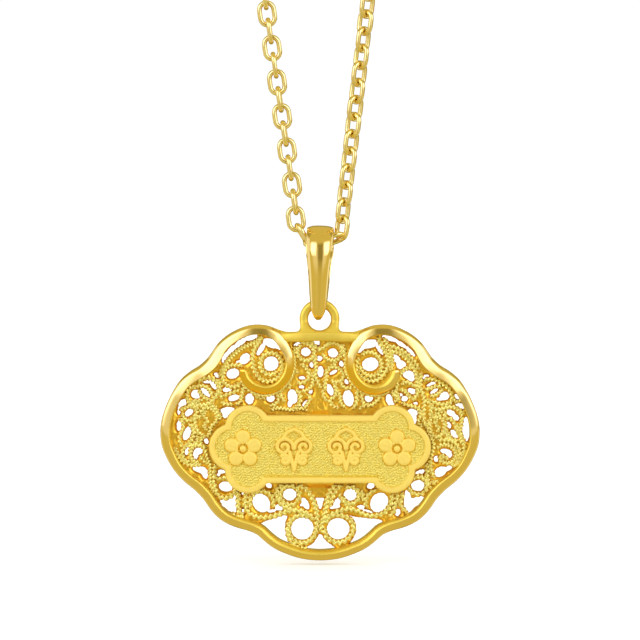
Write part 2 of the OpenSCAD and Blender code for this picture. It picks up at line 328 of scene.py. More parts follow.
# openings of the left half; x, y, length, width, turn
HOLES_L = [
    (224.8, 357.8, 11, 4.5, 62), (231, 350.7, 14, 5, 47), (240, 343.3, 14, 5, 36), (250.5, 338, 14, 5, 17),
    (244.7, 359.3, 11.5, 8.5, 58), (239.5, 363.3, 9, 5, 10), (232.5, 374.3, 12.5, 9.5, 20),
    (216.8, 375.8, 6.5, 4, -30), (208, 382.4, 10, 2.8, 6), (213.3, 385.8, 9.5, 4.5, -58), (205, 392.8, 12, 5, -48),
    (195.6, 395, 9.5, 8.5, 0), (182, 404.3, 9.5, 6, 50), (178.5, 411.5, 8, 2.6, 85), (188.3, 413.5, 9.5, 5.5, 40),
    (178.5, 426.5, 10.5, 4.2, 85), (186.5, 434.3, 14, 6.5, 68), (205.7, 442, 5.5, 3.6, -70),
    (198, 452.2, 10, 6.5, 20), (195, 456, 9, 5, 85), (186.5, 452.2, 8, 3.6, 72), (227, 390, 9, 5, 12),
    (233.5, 398.7, 11, 5.5, 15), (249.3, 399.7, 10.5, 8, 90), (227.3, 411.3, 14, 6, 6), (225.5, 414.5, 9.5, 5.5, 65),
    (270.5, 399, 7.8, 7.4, 0), (260.5, 393.5, 4.5, 4.5, 0), (292.5, 397.3, 14, 9, -80), (290, 404, 8.5, 4.2, 80),
    (305.8, 352.6, 9, 8.2, 0), (297, 345, 6.5, 3.6, 25), (317, 342.8, 12, 4.6, -8), (312, 365.5, 5, 4.6, 90),
    (302, 378.6, 6, 3.2, 0), (301.5, 387.5, 5.4, 2.8, 0), (310.5, 392, 3.5, 5, 0), (305, 404, 7.5, 2.8, 55),
    (271, 343.8, 17, 8, -22), (260.7, 349.7, 14, 4.5, 58), (278, 347.5, 8, 3.8, -25), (271, 364.2, 14, 14, 0),
    (270, 368, 11, 6, 0), (199.5, 470.8, 15, 6, -14), (203.8, 474, 12, 6, -72), (221, 472.8, 7, 3.6, -10),
    (217.7, 476.5, 6, 2.6, 50), (225.3, 488, 13.2, 9.5, -8), (228.5, 505.3, 15, 5.5, -26), (233.3, 503, 18, 4.6, 90),
    (242, 513.7, 6.5, 3.6, 75), (261, 504.5, 19.5, 16, -55), (271.5, 512.4, 9, 2.6, 8), (268.5, 486.7, 6.5, 4.6, -35),
    (289.5, 496, 12.8, 11.6, 0), (279.3, 508.8, 8.5, 6, 0), (305.3, 505, 12.5, 5.5, -62), (302.3, 506.3, 5, 3, 20),
    (302.3, 530.3, 22, 22, 0), 
    (243.5, 495, 4.2, 2.8, 0)]
# openings on the middle line
HOLES_C = [(319.5, 359, 5.2, 4.6, 0), (320.5, 372.2, 11, 5.6, 88), (322, 406.5, 4, 2.6, 0), (320, 503, 15, 5, 90),
           (320, 500.5, 8.5, 3.6, 0), (320, 541, 8, 3, 90)]
# openings of the right half
HOLES_R = [
    (390, 339, 16, 4, -17), (401, 344.5, 13, 3.6, -33), (410.5, 352, 13, 3.4, -48), (396, 359, 10, 6, -35),
    (401.5, 365.5, 9, 8, 0), (409, 375.5, 11.5, 8, -15), (411.5, 379, 7, 6, 0), (426, 377.5, 6.5, 4, 10),
    (431.5, 385, 9.5, 3.2, 25), (434.5, 392, 8.5, 3.2, 35), (445, 396.8, 9, 8, 0), (441.5, 399.8, 10, 2.5, 0),
    (457.5, 397.5, 6, 2.8, -50), (460.5, 406.5, 9.5, 5, -35), (451.5, 414, 9, 5.5, -30), (456.5, 418.5, 7, 5, -45),
    (466.5, 430, 24, 7.4, -88), (449.5, 426, 7.5, 3, -70), (455, 435, 9.5, 5, -50), (446.5, 452.5, 11, 4.5, -10),
    (450, 456, 5, 5.5, 0), (437, 460, 4.5, 6, 0), (441, 473, 13, 9, 30), (449, 469.5, 9, 4, 30),
    (412.5, 392, 9, 5, -20), (400, 395.5, 6, 2.6, 0), (405, 399.5, 6, 5, 20), (416, 404.5, 4, 3, 0),
    (389.5, 400.5, 10.5, 6, 100), (392, 403.5, 6, 3, -30), (413, 413.5, 10, 7, -15), (414.5, 419.5, 10, 5, -75),
    (369, 399, 7.6, 7.2, 0), (348.5, 399, 16, 10, -80), (333, 353.5, 9.5, 8.5, -20), (341.5, 364.5, 6, 4, -70),
    (333.5, 373, 8, 3.2, 30), (346.5, 382.5, 5, 3, -60), (330, 390.5, 12, 5.5, -68), (369.5, 344.5, 17, 8, 12),
    (361, 349.5, 9, 5, 45), (379.5, 349, 14, 4, -58), (370.5, 364.8, 16, 13, 10), (420.5, 473.5, 10, 4, 20),
    (418.5, 487, 13, 10.5, 0), (408, 502, 18, 5.5, 85), (416.5, 503, 17, 8, 25), (398, 514, 7, 5, 80),
    (379.5, 504, 20, 16.5, 58), (371, 487.3, 7, 6, 20), (350.5, 496, 12.6, 12, 0), (361, 508.8, 7.5, 4, 0),
    (368, 513, 10, 2.4, -15), (337, 504.5, 11, 5.5, 65), (335, 508.5, 11, 3, 10), (338.3, 530.5, 22, 21, 0)]
# openings with corners
POLYS = [[(348.5, 517), (358, 519), (370, 520.3), (381, 521.5), (383, 524), (372, 536), (362, 543), (351, 549), (349.5, 546), (354, 540), (356.8, 533), (356.3, 526), (353, 520.5)],
         [(260, 525.5), (266, 522.8), (275, 520), (283, 517), (287, 517.6), (285, 523), (284.2, 531), (286, 537.5), (292, 546.5), (288, 548), (276, 541.5), (267, 534)],
         [(306.5, 549.5), (313, 545.5), (317, 540.5), (319.3, 536), (321, 536), (324, 541), (329, 545.5), (335, 549.3), (336, 553), (305, 553)],
         [(233.5, 494.5), (235.3, 499), (235.6, 513.5), (232, 515), (222, 507), (219, 500.5), (226, 501), (230.5, 498.5)],
         [(404.8, 498), (406.5, 491.5), (409, 494), (411, 499), (416, 501), (423, 497), (420.5, 503), (412, 512), (406, 515.5), (404.8, 508)]]
# twisted wires of the left half: width, points
WIRES_L = [
    (6.5, [(219.5, 378), (221.5, 371), (225, 364.5), (230, 358), (236, 352.5), (243, 347.5), (250, 344.5), (257, 341), (262, 336)]),
    (6.3, [(262.5, 335), (259, 342), (254.5, 349), (252.5, 357), (253, 366), (256, 374), (261, 380), (269, 382), (277, 379), (282, 372), (282, 363), (278.5, 356), (272, 353.3), (265, 355), (260.7, 360.5), (261, 368.5), (266, 374), (272, 375), (278, 371.5)]),
    (6, [(243, 366.5), (236.5, 365.5), (229.5, 366), (224, 371), (222.5, 378), (225, 384), (231, 387), (237, 386), (241, 382)]),
    (6, [(247, 383), (243.5, 389), (241.7, 396), (240.5, 402), (235, 406)]),
    (5, [(222, 397), (228, 394.5), (234, 392.5), (239, 390)]),
    (5.5, [(220, 402), (226, 404.5), (233, 404.8)]),
    (5.5, [(218.5, 379), (219.8, 386), (219.5, 393), (222, 400)]),
    (6.3, [(197, 382.5), (203, 379), (210, 378.5), (216, 382), (218.8, 389), (216, 396), (211, 402), (204, 405.5), (196, 405), (190, 401)]),
    (5.5, [(191, 389), (198, 386), (205, 387), (209.8, 391), (212, 397)]),
    (5, [(198.3, 389), (200.5, 394.5), (205, 398.5), (210, 400)]),
    (5, [(190, 401.5), (196.5, 401.3), (203, 400)]),
    (5.5, [(194, 386), (188.7, 390), (186.5, 396), (188.5, 402), (193, 406.5), (199, 409)]),
    (5.5, [(178.5, 411), (183, 409), (188.5, 407), (194, 408.5), (196, 413.5), (193, 418.5), (187.5, 421), (183, 418), (182, 412.5)]),
    (4.5, [(177, 419), (181.5, 421.5), (183, 427), (181, 433), (179, 439), (181, 445), (185, 448)]),
    (5.5, [(187, 424), (191.5, 427), (193.2, 433), (191.5, 439), (188, 444), (183, 447)]),
    (6, [(199, 414), (205, 408.5), (212, 409.5), (216.5, 415), (216, 422), (211, 427.5), (209.5, 434), (206, 438)]),
    (6, [(201, 420), (196, 416), (194.5, 421), (195.5, 428), (199, 434), (204, 435.5)]),
    (5.5, [(210, 403), (215.5, 408.5), (219, 414.5), (221.5, 420.5)]),
    (5, [(207, 436), (202, 438.5), (200.5, 443), (203.5, 447.5), (207, 448)]),
    (5.5, [(196.5, 435), (197, 441), (192.5, 445.5), (186.5, 446.5)]),
    (6, [(207.5, 462), (206, 455), (203, 448), (197, 445.8), (191.5, 448.5), (190, 455), (192.5, 461.5), (199, 463.5)]),
    (5, [(200, 455.5), (203, 460.5), (208, 465)]),
    (5, [(188, 446), (183.5, 449), (181.8, 455), (184.5, 460.5), (190, 463)]),
    (5.5, [(173.5, 447), (177, 454.5), (181.5, 461), (188, 465.5), (195, 465.5), (202, 465)]),
    (6, [(206.5, 458), (209.5, 465), (210, 473), (209.8, 481), (211, 488), (214.5, 494.5)]),
    (5.5, [(215.5, 464), (214, 471), (214.5, 478), (219, 480)]),
    (6, [(213, 480), (214.5, 488), (217.5, 496), (224.5, 499), (231, 496.5), (235, 490.5), (232, 482.5), (225, 479), (217.5, 480.5)]),
    (6, [(237.5, 491), (237.8, 499), (238, 507), (239.5, 513), (243.5, 519)]),
    (6.6, [(247.5, 492), (245, 498), (244.5, 505), (246.5, 511.5), (251.5, 516), (258, 518.3), (266, 518.4), (274, 516.8), (281.5, 514.3), (289, 512), (297, 511.5), (304, 513), (310, 516.5), (315, 522)]),
    (5.5, [(228.5, 514), (234, 516.5), (240, 519.5), (247, 521.5)]),
    (6, [(250, 510), (249.5, 503), (251.5, 496.5), (256.5, 492.5), (263, 491.8), (268.8, 494.5), (272.5, 499.5), (273, 505), (272.8, 509)]),
    (6.2, [(297, 503), (291, 505.8), (284, 503.8), (280.3, 498), (281.2, 491.5), (286, 487.3), (292.5, 487), (298, 491), (299.3, 497.5), (296.5, 504)]),
    (5.5, [(285, 485.5), (278.5, 488), (276, 494), (277.5, 500.5), (282, 506), (288, 509.5), (295, 510)]),
    (6.4, [(297, 485.5), (304.5, 489), (310.5, 495.5), (314, 503), (316.3, 511), (317.5, 519), (316.6, 529), (314, 537), (308.5, 542.8), (301, 544.5), (293.5, 541.5), (289, 535.5), (288.3, 528), (291.5, 521), (297.5, 516.8), (304.5, 516.3), (310.5, 519)]),
    (5, [(286.5, 531), (288.5, 539), (293, 545.5), (300, 549.5), (307, 548.5)]),
    (5.6, [(300, 342.5), (307, 343.8), (312.6, 348), (314, 354.5), (310, 360), (303.5, 360.5), (298.5, 356.5), (297.8, 350), (301.5, 344.5)]),
    (5.5, [(295.5, 346), (294, 353), (294, 361), (294.5, 368), (298, 374.5)]),
    (5.5, [(299, 364), (305, 367), (308.5, 372.5), (308, 379), (303, 383), (296, 383.5)]),
    (5.5, [(315.5, 355), (315, 362), (315.8, 369), (315, 376), (318, 383), (321, 389)]),
    (5.5, [(312, 372), (313, 379), (312, 386), (307, 390.5), (300.5, 392)]),
    (5.5, [(295, 389.5), (299.3, 394), (300, 400.5), (297.5, 406.5), (292, 410.5)]),
    (5, [(307, 394), (310.5, 399), (307.5, 404.5), (304, 410)]),
    (5.5, [(270, 410.5), (277, 408.8), (284, 409.5), (292, 410.5), (300, 409), (308, 411)]),
    (5.5, [(264, 401.5), (264.5, 395), (270, 391.8), (276.5, 394), (278.5, 400), (275, 405), (269, 406.3)]),
    (5.5, [(283, 384), (280.5, 390), (281.5, 397), (285, 403)]),
    (5.5, [(250, 388.5), (256, 389.5), (264, 390.5)]),
    (5.5, [(252, 391), (256, 396.5), (262, 399.5)]),
    (5.5, [(284.5, 377), (288.5, 383), (290, 390)])]
# ropes laid along the outer side of the scrolls, nearer the front
WIRES_L.append((5.2, [(206.5, 410.5), (202.8, 415.5), (206.8, 421), (203.8, 426.5), (206.5, 431.5)]))
WIRES_SCROLL = [
    (4.0, [(294, 356), (294.6, 365.5), (292.6, 375), (287.5, 384), (279.5, 391), (270, 395), (261, 395.6), (252.5, 392.6), (245.3, 387), (240.5, 379.5)]),
    (4.0, [(346, 356), (345.4, 365.5), (347.6, 375.2), (353, 384.3), (361, 391), (370.5, 395.3), (380, 395.3), (389.5, 391.8)])]
# wires that cross the middle line, drawn once
WIRES_C = [(5.5, [(309, 341), (315, 346.5), (320, 349.5), (325, 346.5), (331, 341)])]
WIRES_R = [
    (5.5, [(324.5, 347.5), (329, 344), (335, 343.6), (340.3, 347), (341.3, 353.5), (337.5, 359.5), (330.5, 360.5), (325.2, 358), (322.5, 353)]),
    (5.5, [(341, 343), (344, 350), (345.5, 357.5), (346.3, 365), (347, 372.5), (351, 378.5)]),
    (5.5, [(337, 361), (332, 366.5), (326.8, 371.5), (326, 378.5), (324.7, 385), (325.5, 391.5)]),
    (5, [(329, 369), (334, 367.3), (340, 369.5), (343.5, 374.5), (341.5, 380.5), (336, 382.5), (330.5, 381)]),
    (5.2, [(340.8, 379), (342, 386), (347, 388.6), (353, 387.5)]),
    (5.2, [(347.5, 374), (351, 380.5), (356.5, 384.5), (362, 388)]),
    (5.5, [(337.5, 390), (339.8, 396.5), (341, 403.5), (345.5, 409)]),
    (5.5, [(357.5, 388.5), (357.3, 396), (356.5, 403.5), (352.5, 410)]),
    (5, [(362.5, 391), (362, 398.5), (363.5, 405.5), (358.5, 410)]),
    (5.5, [(334, 383), (336, 389.5), (335, 396.5), (330.5, 400.5), (333, 406), (339.5, 408.5)]),
    (5, [(323, 389), (323.5, 396.5), (327.5, 402.5)]),
    (5.5, [(364.5, 404), (370.5, 406), (376.5, 402), (381, 396.5), (386, 391.5), (391.5, 387)]),
    (5.3, [(365, 395), (370, 392), (375.5, 395.3), (379, 391)]),
    (6.4, [(377, 336.5), (380.7, 343), (385, 350.7), (388, 358.8), (387.8, 367.5), (383.5, 375), (377.5, 380.5), (370, 381.5), (362.8, 378.5), (358, 372.5), (356.8, 364.5), (358.8, 357)]),
    (6, [(360.5, 355.5), (366, 352.6), (373, 353.3), (379, 358), (381.3, 365), (380, 371.5), (375, 375.6), (368, 375.8), (361.8, 371.5), (360, 365)]),
    (5.5, [(383.5, 337.5), (387, 343.5), (389.8, 350), (391.7, 357.5), (392.4, 365), (391, 372)]),
    (6, [(389, 345.7), (396.3, 348), (403.8, 352), (410.6, 357.5), (416.2, 363.8), (419.5, 370.5)]),
    (5.8, [(389, 352.3), (396, 352.2), (403.5, 355.8), (409, 361.3), (413.5, 367.3), (416.5, 374), (417.5, 381.5), (418.3, 388), (417.3, 395), (412.5, 402)]),
    (5.5, [(413.5, 366.5), (407.5, 368.8), (402, 372), (398.7, 378)]),
    (5.3, [(397.3, 378), (397.5, 385.5), (395.8, 393), (396.5, 400)]),
    (5.2, [(400.5, 385.5), (405.5, 382.3), (412, 384.7), (417, 388)]),
    (5.2, [(399, 389.5), (405, 391.5), (409.5, 396.5), (413.5, 400)]),
    (5.8, [(422, 371.5), (421, 379), (420.5, 386.5), (422.5, 393.5), (424.5, 400.5), (424, 408), (423.5, 415.5), (424.5, 423), (428, 429.5)]),
    (5.5, [(401, 402.5), (407, 405.6), (413, 406.8), (419, 409.5), (420.5, 416), (418.5, 423), (423, 428)]),
    (5.2, [(391.5, 390), (394.5, 396.5), (400.5, 401)]),
    (5.6, [(423.5, 381.5), (429, 379.3), (435.5, 380), (441.5, 383.3), (447.5, 387.5), (451.5, 393), (453.3, 400.5)]),
    (5.2, [(424.5, 389.5), (430.5, 388.8), (436.5, 386.5), (442, 387.5)]),
    (5, [(429.5, 396.5), (435, 396), (440.5, 392.5), (443.5, 388.5)]),
    (5.6, [(431, 401), (436.5, 403.5), (443, 405), (449.5, 403.5), (453.5, 401.5)]),
    (5.6, [(430, 404.5), (434.5, 409), (441, 409.8), (447.5, 408), (454, 407.7), (460.5, 411), (465.5, 414.5)]),
    (4.8, [(452, 397.5), (456, 402), (462, 401.5)]),
    (5.4, [(446, 411), (446, 418), (451.5, 420), (455.8, 424.5), (459.5, 429)]),
    (5.2, [(459.5, 411.5), (462.3, 417.5), (461.5, 425), (460.5, 432), (463, 439)]),
    (5.4, [(446, 421.5), (445.8, 429), (449, 435), (452.8, 440.3), (459, 441)]),
    (5, [(454.5, 426), (458, 432), (460.8, 438.5), (461, 445)]),
    (5.6, [(433.5, 420), (439, 417.3), (443.8, 421.5), (445, 428.5), (442.5, 435), (437, 437.5), (432, 434), (430.5, 427.5), (431.5, 421.5)]),
    (5.4, [(445.5, 410.5), (439.5, 413), (434, 416.5), (429.5, 421.5), (427.5, 428), (429.5, 435), (432.5, 441.5)]),
    (5.4, [(427.5, 398), (430.5, 405), (431.5, 412), (430, 418)]),
    (6, [(430.5, 437), (433.3, 444), (432.5, 451.5), (431, 458.5), (430.5, 466), (432.3, 473), (434.5, 479.5)]),
    (6, [(437, 450.5), (441, 446.3), (447.5, 445.5), (453.8, 449), (456.3, 455), (454, 461.5), (448, 464), (441.5, 461.5), (439.5, 456.5)]),
    (5.6, [(437, 441), (444, 440.5), (451, 441.5), (457, 445.5), (460, 452), (459, 459.5), (455.5, 464.5)]),
    (5.6, [(462.5, 437), (464.5, 444.5), (464.5, 452.5), (462, 460), (457, 465.5), (450.5, 465.8)]),
    (5.4, [(440.5, 431), (446.5, 434.5), (448.5, 441)]),
    (5, [(439.5, 455), (444.5, 457.5), (449.5, 460)]),
    (5.8, [(411, 482), (415, 478.5), (421, 478.3), (425.8, 482), (427, 488), (423.5, 493.8), (417, 495.3), (411.3, 492.3), (408.8, 487)]),
    (5.2, [(412.5, 479.5), (418.5, 477), (424.5, 478.3), (429.5, 481)]),
    (5.4, [(426.5, 463), (427.3, 470), (427.5, 477), (428.8, 484), (431, 490.5)]),
    (5, [(430, 482), (435, 483.5), (438.5, 480.5)]),
    (5.5, [(402.5, 491.5), (402.3, 498.5), (400.5, 505), (404, 510.5), (408.5, 514.8)]),
    (5.5, [(397, 493), (397.5, 500), (395.5, 506.5), (393.5, 513.5), (388.5, 517.5)]),
    (6.2, [(392, 493.5), (392, 501), (389.5, 508), (384.5, 513.8), (377.5, 516.5), (370, 516.9), (363, 514.7), (356, 511.3), (348.5, 510), (341, 511.5), (334, 514.5), (327.5, 518.5), (323, 524.5)]),
    (5.4, [(378, 490), (371.5, 493), (367, 498), (366, 504.5), (367.5, 509.5)]),
    (5, [(361.5, 489.5), (363, 496.5), (362.5, 503)]),
    (5.8, [(344.5, 490.5), (350, 487.4), (356, 489.5), (359, 495.3), (357, 501.8), (351, 504.8), (345, 502), (342, 496.5)]),
    (5.2, [(339.5, 493), (341.5, 500), (346, 505.5), (352.5, 508)]),
    (6.2, [(326.8, 525), (328.5, 519.3), (334.5, 516), (342, 516.8), (349, 519.5), (353.3, 525.5), (353, 533), (349, 539), (343, 543), (336, 543.8), (329.3, 540.5), (325.3, 535), (324.5, 529)]),
    (6.2, [(337, 484.5), (331.5, 490), (328, 496.5), (326.5, 504), (325.3, 511.5), (323.5, 519), (321.5, 526.5), (320.5, 534)]),
    (5, [(394, 404), (398.5, 398), (396, 391)]),
    (5.4, [(343.5, 485.5), (338, 489), (334, 495), (331.5, 501.5), (329.5, 508.5)]),
    (5.0, [(438.5, 419.5), (435.5, 424), (439, 428.5), (437, 433.5)]),
]



# ---------------------------------------------------------------- rim, scrolls and eyelet
# slope of the rim's face across the band, in degrees facing outwards: at the shoulders and lobes, at the widest part, down the sides,
# round the foot and at the bar under the eyelet. Columns of RIM_OUT: place from the outer edge 0 to the crest 1, degrees; of RIM_IN: from the crest 0 to the
# inner edge 1, degrees
RIM_OUT = {
    "high": [(0, 78), (0.04, 62), (0.10, 53), (0.17, 45), (0.23, 36), (0.32, 28), (0.42, 21), (0.53, 18), (0.63, 16.5), (0.74, 15.5), (1, 13.5)],
    "side": [(0, 80), (0.04, 64), (0.10, 50), (0.17, 41), (0.27, 35), (0.5, 31), (0.8, 29), (1, 26)],
    "foot": [(0, 80), (0.05, 62), (0.12, 46), (0.22, 35), (0.35, 29), (0.6, 26), (1, 23)],
    "flank": [(0, 78), (0.06, 60), (0.13, 44), (0.2, 26), (0.3, 12), (0.42, 6.5), (1, 5)],
    "bar": [(0, 80), (0.08, 58), (0.2, 30), (0.4, 10), (1, 3)],
    "scroll": [(0, 78), (0.03, 66), (0.08, 50), (0.2, 36), (0.5, 30), (0.8, 27), (1, 22)],
}
RIM_IN = {
    "high": [(0, -8), (0.4, -40), (1, -76)],
    "side": [(0, -24), (0.5, -40), (0.8, -60), (1, -80)],
    "foot": [(0, -17), (0.3, -23), (0.5, -42), (0.75, -55), (0.9, -70), (1, -82)],
    "flank": [(0, -5), (0.4, -20), (0.7, -45), (1, -78)],
    "bar": [(0, -2), (0.6, -8), (0.8, -30), (0.92, -58), (1, -80)],
    "scroll": [(0, -12), (0.3, -22), (0.6, -38), (0.82, -55), (1, -78)],
}
RIM_U = np.array([0, 0.015, 0.04, 0.08, 0.13, 0.19, 0.27, 0.37, 0.5, 0.64, 0.78, 0.9, 0.97, 1.0])
RIM_V = np.array([0, 0.1, 0.25, 0.45, 0.65, 0.85, 1.0])
RIM_BACK = np.array([(0.5, 0.45), (0.47, 0.72), (0.38, 0.90), (0.2, 1.02), (0, 1.048), (-0.2, 1.02), (-0.38, 0.90), (-0.47, 0.72), (-0.5, 0.45)])


def rim_face(weights, outer, crest, width):
    """Points of the face, (across, depth behind the crest), from the outer edge over the crest to the inner edge."""
    def mixed_slope(tables, at):
        return sum(w * np.interp(at, *np.array(tables[name], float).T) for name, w in weights.items())
    a = np.concatenate([outer + RIM_U * (crest - outer), crest + RIM_V[1:] * (0.5 - crest)])
    slope = np.concatenate([mixed_slope(RIM_OUT, (RIM_U[1:] + RIM_U[:-1]) / 2), mixed_slope(RIM_IN, (RIM_V[1:] + RIM_V[:-1]) / 2)])
    h = np.concatenate([[0], np.cumsum(np.tan(np.radians(slope)) * np.diff(a))]) * width * G
    return np.stack([a, h[len(RIM_U) - 1] - h], 1)


def rim_section(k):
    """Face with its highest line at the same depth all the way round, straight sides, rounded back. Columns: across, depth."""
    x, y, width = rim_pts[k]
    off = abs(x - 320)
    top = y < 400
    bar = (1 - smoothstep(28, 42, off)) * top
    foot = smoothstep(470, 500, y)
    side = smoothstep(386 if x < 320 else 394, 420, y) * (1 - foot)
    level = 0.35 * smoothstep(370, 379, y) * (1 - smoothstep(393, 404, y)) * (x < 320)
    flank = smoothstep(384, 400, y) * (1 - smoothstep(427, 440, y))
    crest = 0.45 * (1 - bar - foot - side) + 0.1 * bar + side * np.interp(y, [430, 470], [0.38, 0.28])
    crest += foot * np.interp(off, [0, 25, 52, 62, 85, 110, 125], [0.03, 0.03, -0.03, 0.05, 0.13, 0.18, 0.24])
    outer = -0.5 - 0.09 * smoothstep(466, 496, y)
    high = 1 - bar - foot - side
    front = rim_face({"high": high * (1 - level) * (1 - flank), "bar": bar + high * level * (1 - flank), "flank": (high + side) * flank,
                      "side": side * (1 - flank), "foot": foot}, outer, crest, width)
    # the bar runs in under the band that turns down into the scroll
    sunk = 0.17 * smoothstep(14, 36, off) * (1 - smoothstep(43, 53, off)) * top
    front[:, 1] = np.minimum(-1.046 + front[:, 1] + sunk, -0.5)
    rest = np.vstack([[(0.5, -0.3), (0.5, 0.1)], RIM_BACK, [(-0.5, 0.1), (-0.5, -0.3)]])
    rest[:, 0] = np.where(rest[:, 0] < 0, rest[:, 0] * outer / -0.5, rest[:, 0])
    return np.vstack([front, rest])


rim_half = np.array(RIM, float)
rim_ring = np.vstack([rim_half, (rim_half * [-1, 1, 1] + [640, 0, 0])[-2:0:-1]])
rim_pts, _ = curve(rim_ring, 1.7, closed=True)
RIM_LINE = rim_pts[:, :2].copy()
rim_mm = np.stack([gx(rim_pts[:, 0]), gz(rim_pts[:, 1])], 1)
rim = Bag()
rim.add(*sweep_flat(rim_mm, rim_pts[:, 2] * G, rim_section, True))


def scroll_root(i):
    return 1 - smoothstep(42, 58, i * 0.1 / G)


def tip_section(i, n, side, share, width):
    """The rim's own face at the root; lower down a bright bevel along the inner edge and a long grooved slope outwards; rounded off at
    the free end."""
    e = 1.0
    tail = (n - 1 - i) * 0.1 / 0.34
    if tail < 1:
        e = math.sqrt(max(0.02, 1 - (1 - tail) ** 2))
    root = scroll_root(i)
    even = 0.6 * smoothstep(20, 38, i * 0.1 / G)
    face = rim_face({"high": root * (1 - even), "bar": root * even, "scroll": 1 - root}, -0.5, 0.5 - share, width)
    u = (face[:, 0] + 0.5) / (1 - share)
    groove = 0.020 * np.abs(np.sin(u * 11.5 + 0.9 * np.sin(i * 0.23) + 0.5 * np.sin(i * 0.61))) * (u > 0.1) * (u < 0.93) * (1 - root) * (share < 0.38)
    y = -1.048 + face[:, 1] + groove
    y = np.minimum(-0.62 + (y + 0.62) * (0.4 + 0.6 * e), -0.45)
    back = np.array([[0.5, -0.35], [0.3, -0.2], [-0.3, -0.2], [-0.5, -0.35]])
    out = np.vstack([np.stack([face[:, 0], y], 1), back])
    out[:, 0] *= e * side
    return out


# finish of each face: 0 polished, 1 soft; and of each point, how much painted shade, deep amber, the polished metal
# takes
FACE_N = len(RIM_U) + len(RIM_V) - 1
ring_m = len(rim.F) // len(rim_pts)
rim_kind = []
for k in range(len(rim.F)):
    x, y, _ = rim_pts[k // ring_m]
    inner = len(RIM_U) - 1 <= k % ring_m < FACE_N - 1
    rim_kind.append(1 if (abs(x - 320) < 46 and y < 400) or (inner and y > 404) else 0)
rim_painted_shade = [0.0] * rim.n
for side, table in ((1, TIP), (-1, TIP_R)):
    pts, _ = curve(np.array(table, float), 0.1 / G)
    mm = np.stack([gx(pts[:, 0]), gz(pts[:, 1])], 1)
    # the scroll turns towards its inner side, which is the normal's side -side
    before = len(rim.F)
    rim.add(*sweep_flat(mm, pts[:, 2] * G, lambda i: tip_section(i, len(pts), -side, pts[i, 3], pts[i, 2]), False))
    m = FACE_N + 4
    for k in range(len(rim.F) - before):
        i, j = min(k // m, len(pts) - 1), k % m
        rim_kind.append(1 if len(RIM_U) - 1 <= j < FACE_N - 1 and scroll_root(i) < 0.5 else 0)
    # painted shade: past its root the scroll's polished slope turns deep amber, less so where the inner bevel is wide
    for i in range(len(pts)):
        rim_painted_shade += [float((1 - scroll_root(i)) * (1 - smoothstep(0.32, 0.42, pts[i, 3])))] * m


def eyelet_sdf(X, Y):
    ring = 20 - np.hypot(X - 319.5, Y - 319.5)
    bar = -d_poly(X, Y, [(297, 333.0), (343, 333.0), (343, 339), (297, 339)])
    body = -smin(-ring, -bar, 11.0)
    return np.minimum(body, np.hypot(X - 319.5, Y - 319.5) - 11.5)


def eyelet_front(x, y, s):
    t = np.clip(s / 3.2, 0, 1)
    r = np.sqrt(np.maximum(0, 1 - (1 - t) ** 2))
    deep = 0.425 + 0.52 * np.clip((y - 321.5) / 11, 0, 1)
    return -deep + (0.24 - 0.16 * smoothstep(322, 333, y)) * (1 - r)


def eyelet_back(x, y, s):
    return -eyelet_front(x, y, s)


rim.add(*plate(eyelet_sdf, (276, 296, 364, 341), 0.9, eyelet_front, eyelet_back))
rim_kind += [1] * (len(rim.F) - len(rim_kind))
rim_painted_shade += [0.0] * (rim.n - len(rim_painted_shade))
rim_ob = make("rim_frame", rim.points(), rim.F, "pendant", ("rim",), sharp=50)
# painted shade per point, read by the rim's material
rim_ob.data.attributes.new("painted_shade", "FLOAT", "POINT").data.foreach_set("value", np.array(rim_painted_shade, np.float32))

# ---------------------------------------------------------------- openwork: cast base and twisted wires
RIM_POLY = RIM_LINE[::2]


def base_sdf(X, Y):
    S = -d_poly(X, Y, RIM_POLY)
    left = X < 320
    H = np.full(X.shape, 1e9)
    for r in HOLES_L:
        H = np.minimum(H, np.where(left, d_oval(X, Y, *r), 1e9))
    for r in HOLES_R:
        H = np.minimum(H, np.where(~left, d_oval(X, Y, *r), 1e9))
    for r in HOLES_C:
        H = np.minimum(H, d_oval(X, Y, *r))
    for p in POLYS:
        H = np.minimum(H, d_poly(X, Y, p))
    return np.minimum(S, H - 0.25 - 0.40 * ripple(X, Y, 1.5, 21))


def ripple(x, y, k, seed):
    """Soft waves of size 1 from a few fixed sines."""
    rng = np.random.default_rng(seed)
    out = 0
    for _ in range(6):
        a, p = rng.uniform(0, 2 * math.pi, 2)
        f = k * rng.uniform(0.6, 1.5)
        out = out + np.sin(f * (x * math.cos(a) + y * math.sin(a)) + p)
    return out / 3.5


def base_front(x, y, s):
    t = np.clip(s / 4.0, 0, 1)
    r = np.sqrt(np.maximum(0, 1 - (1 - t) ** 2))
    return 0.10 - 0.30 * r + 0.025 * ripple(x, y, 0.5, 3) + 0.014 * ripple(x, y, 1.1, 9) * t


def base_back(x, y, s):
    t = np.clip(s / 4.0, 0, 1)
    r = np.sqrt(np.maximum(0, 1 - (1 - t) ** 2))
    return 0.38 + 0.24 * r + 0.02 * ripple(x, y, 0.5, 4)


V, F = plate(base_sdf, (158, 324, 482, 560), 1.25, base_front, base_back)
base_ob = make("filigree_base", V, F, "pendant", ("filigree",), sharp=60)


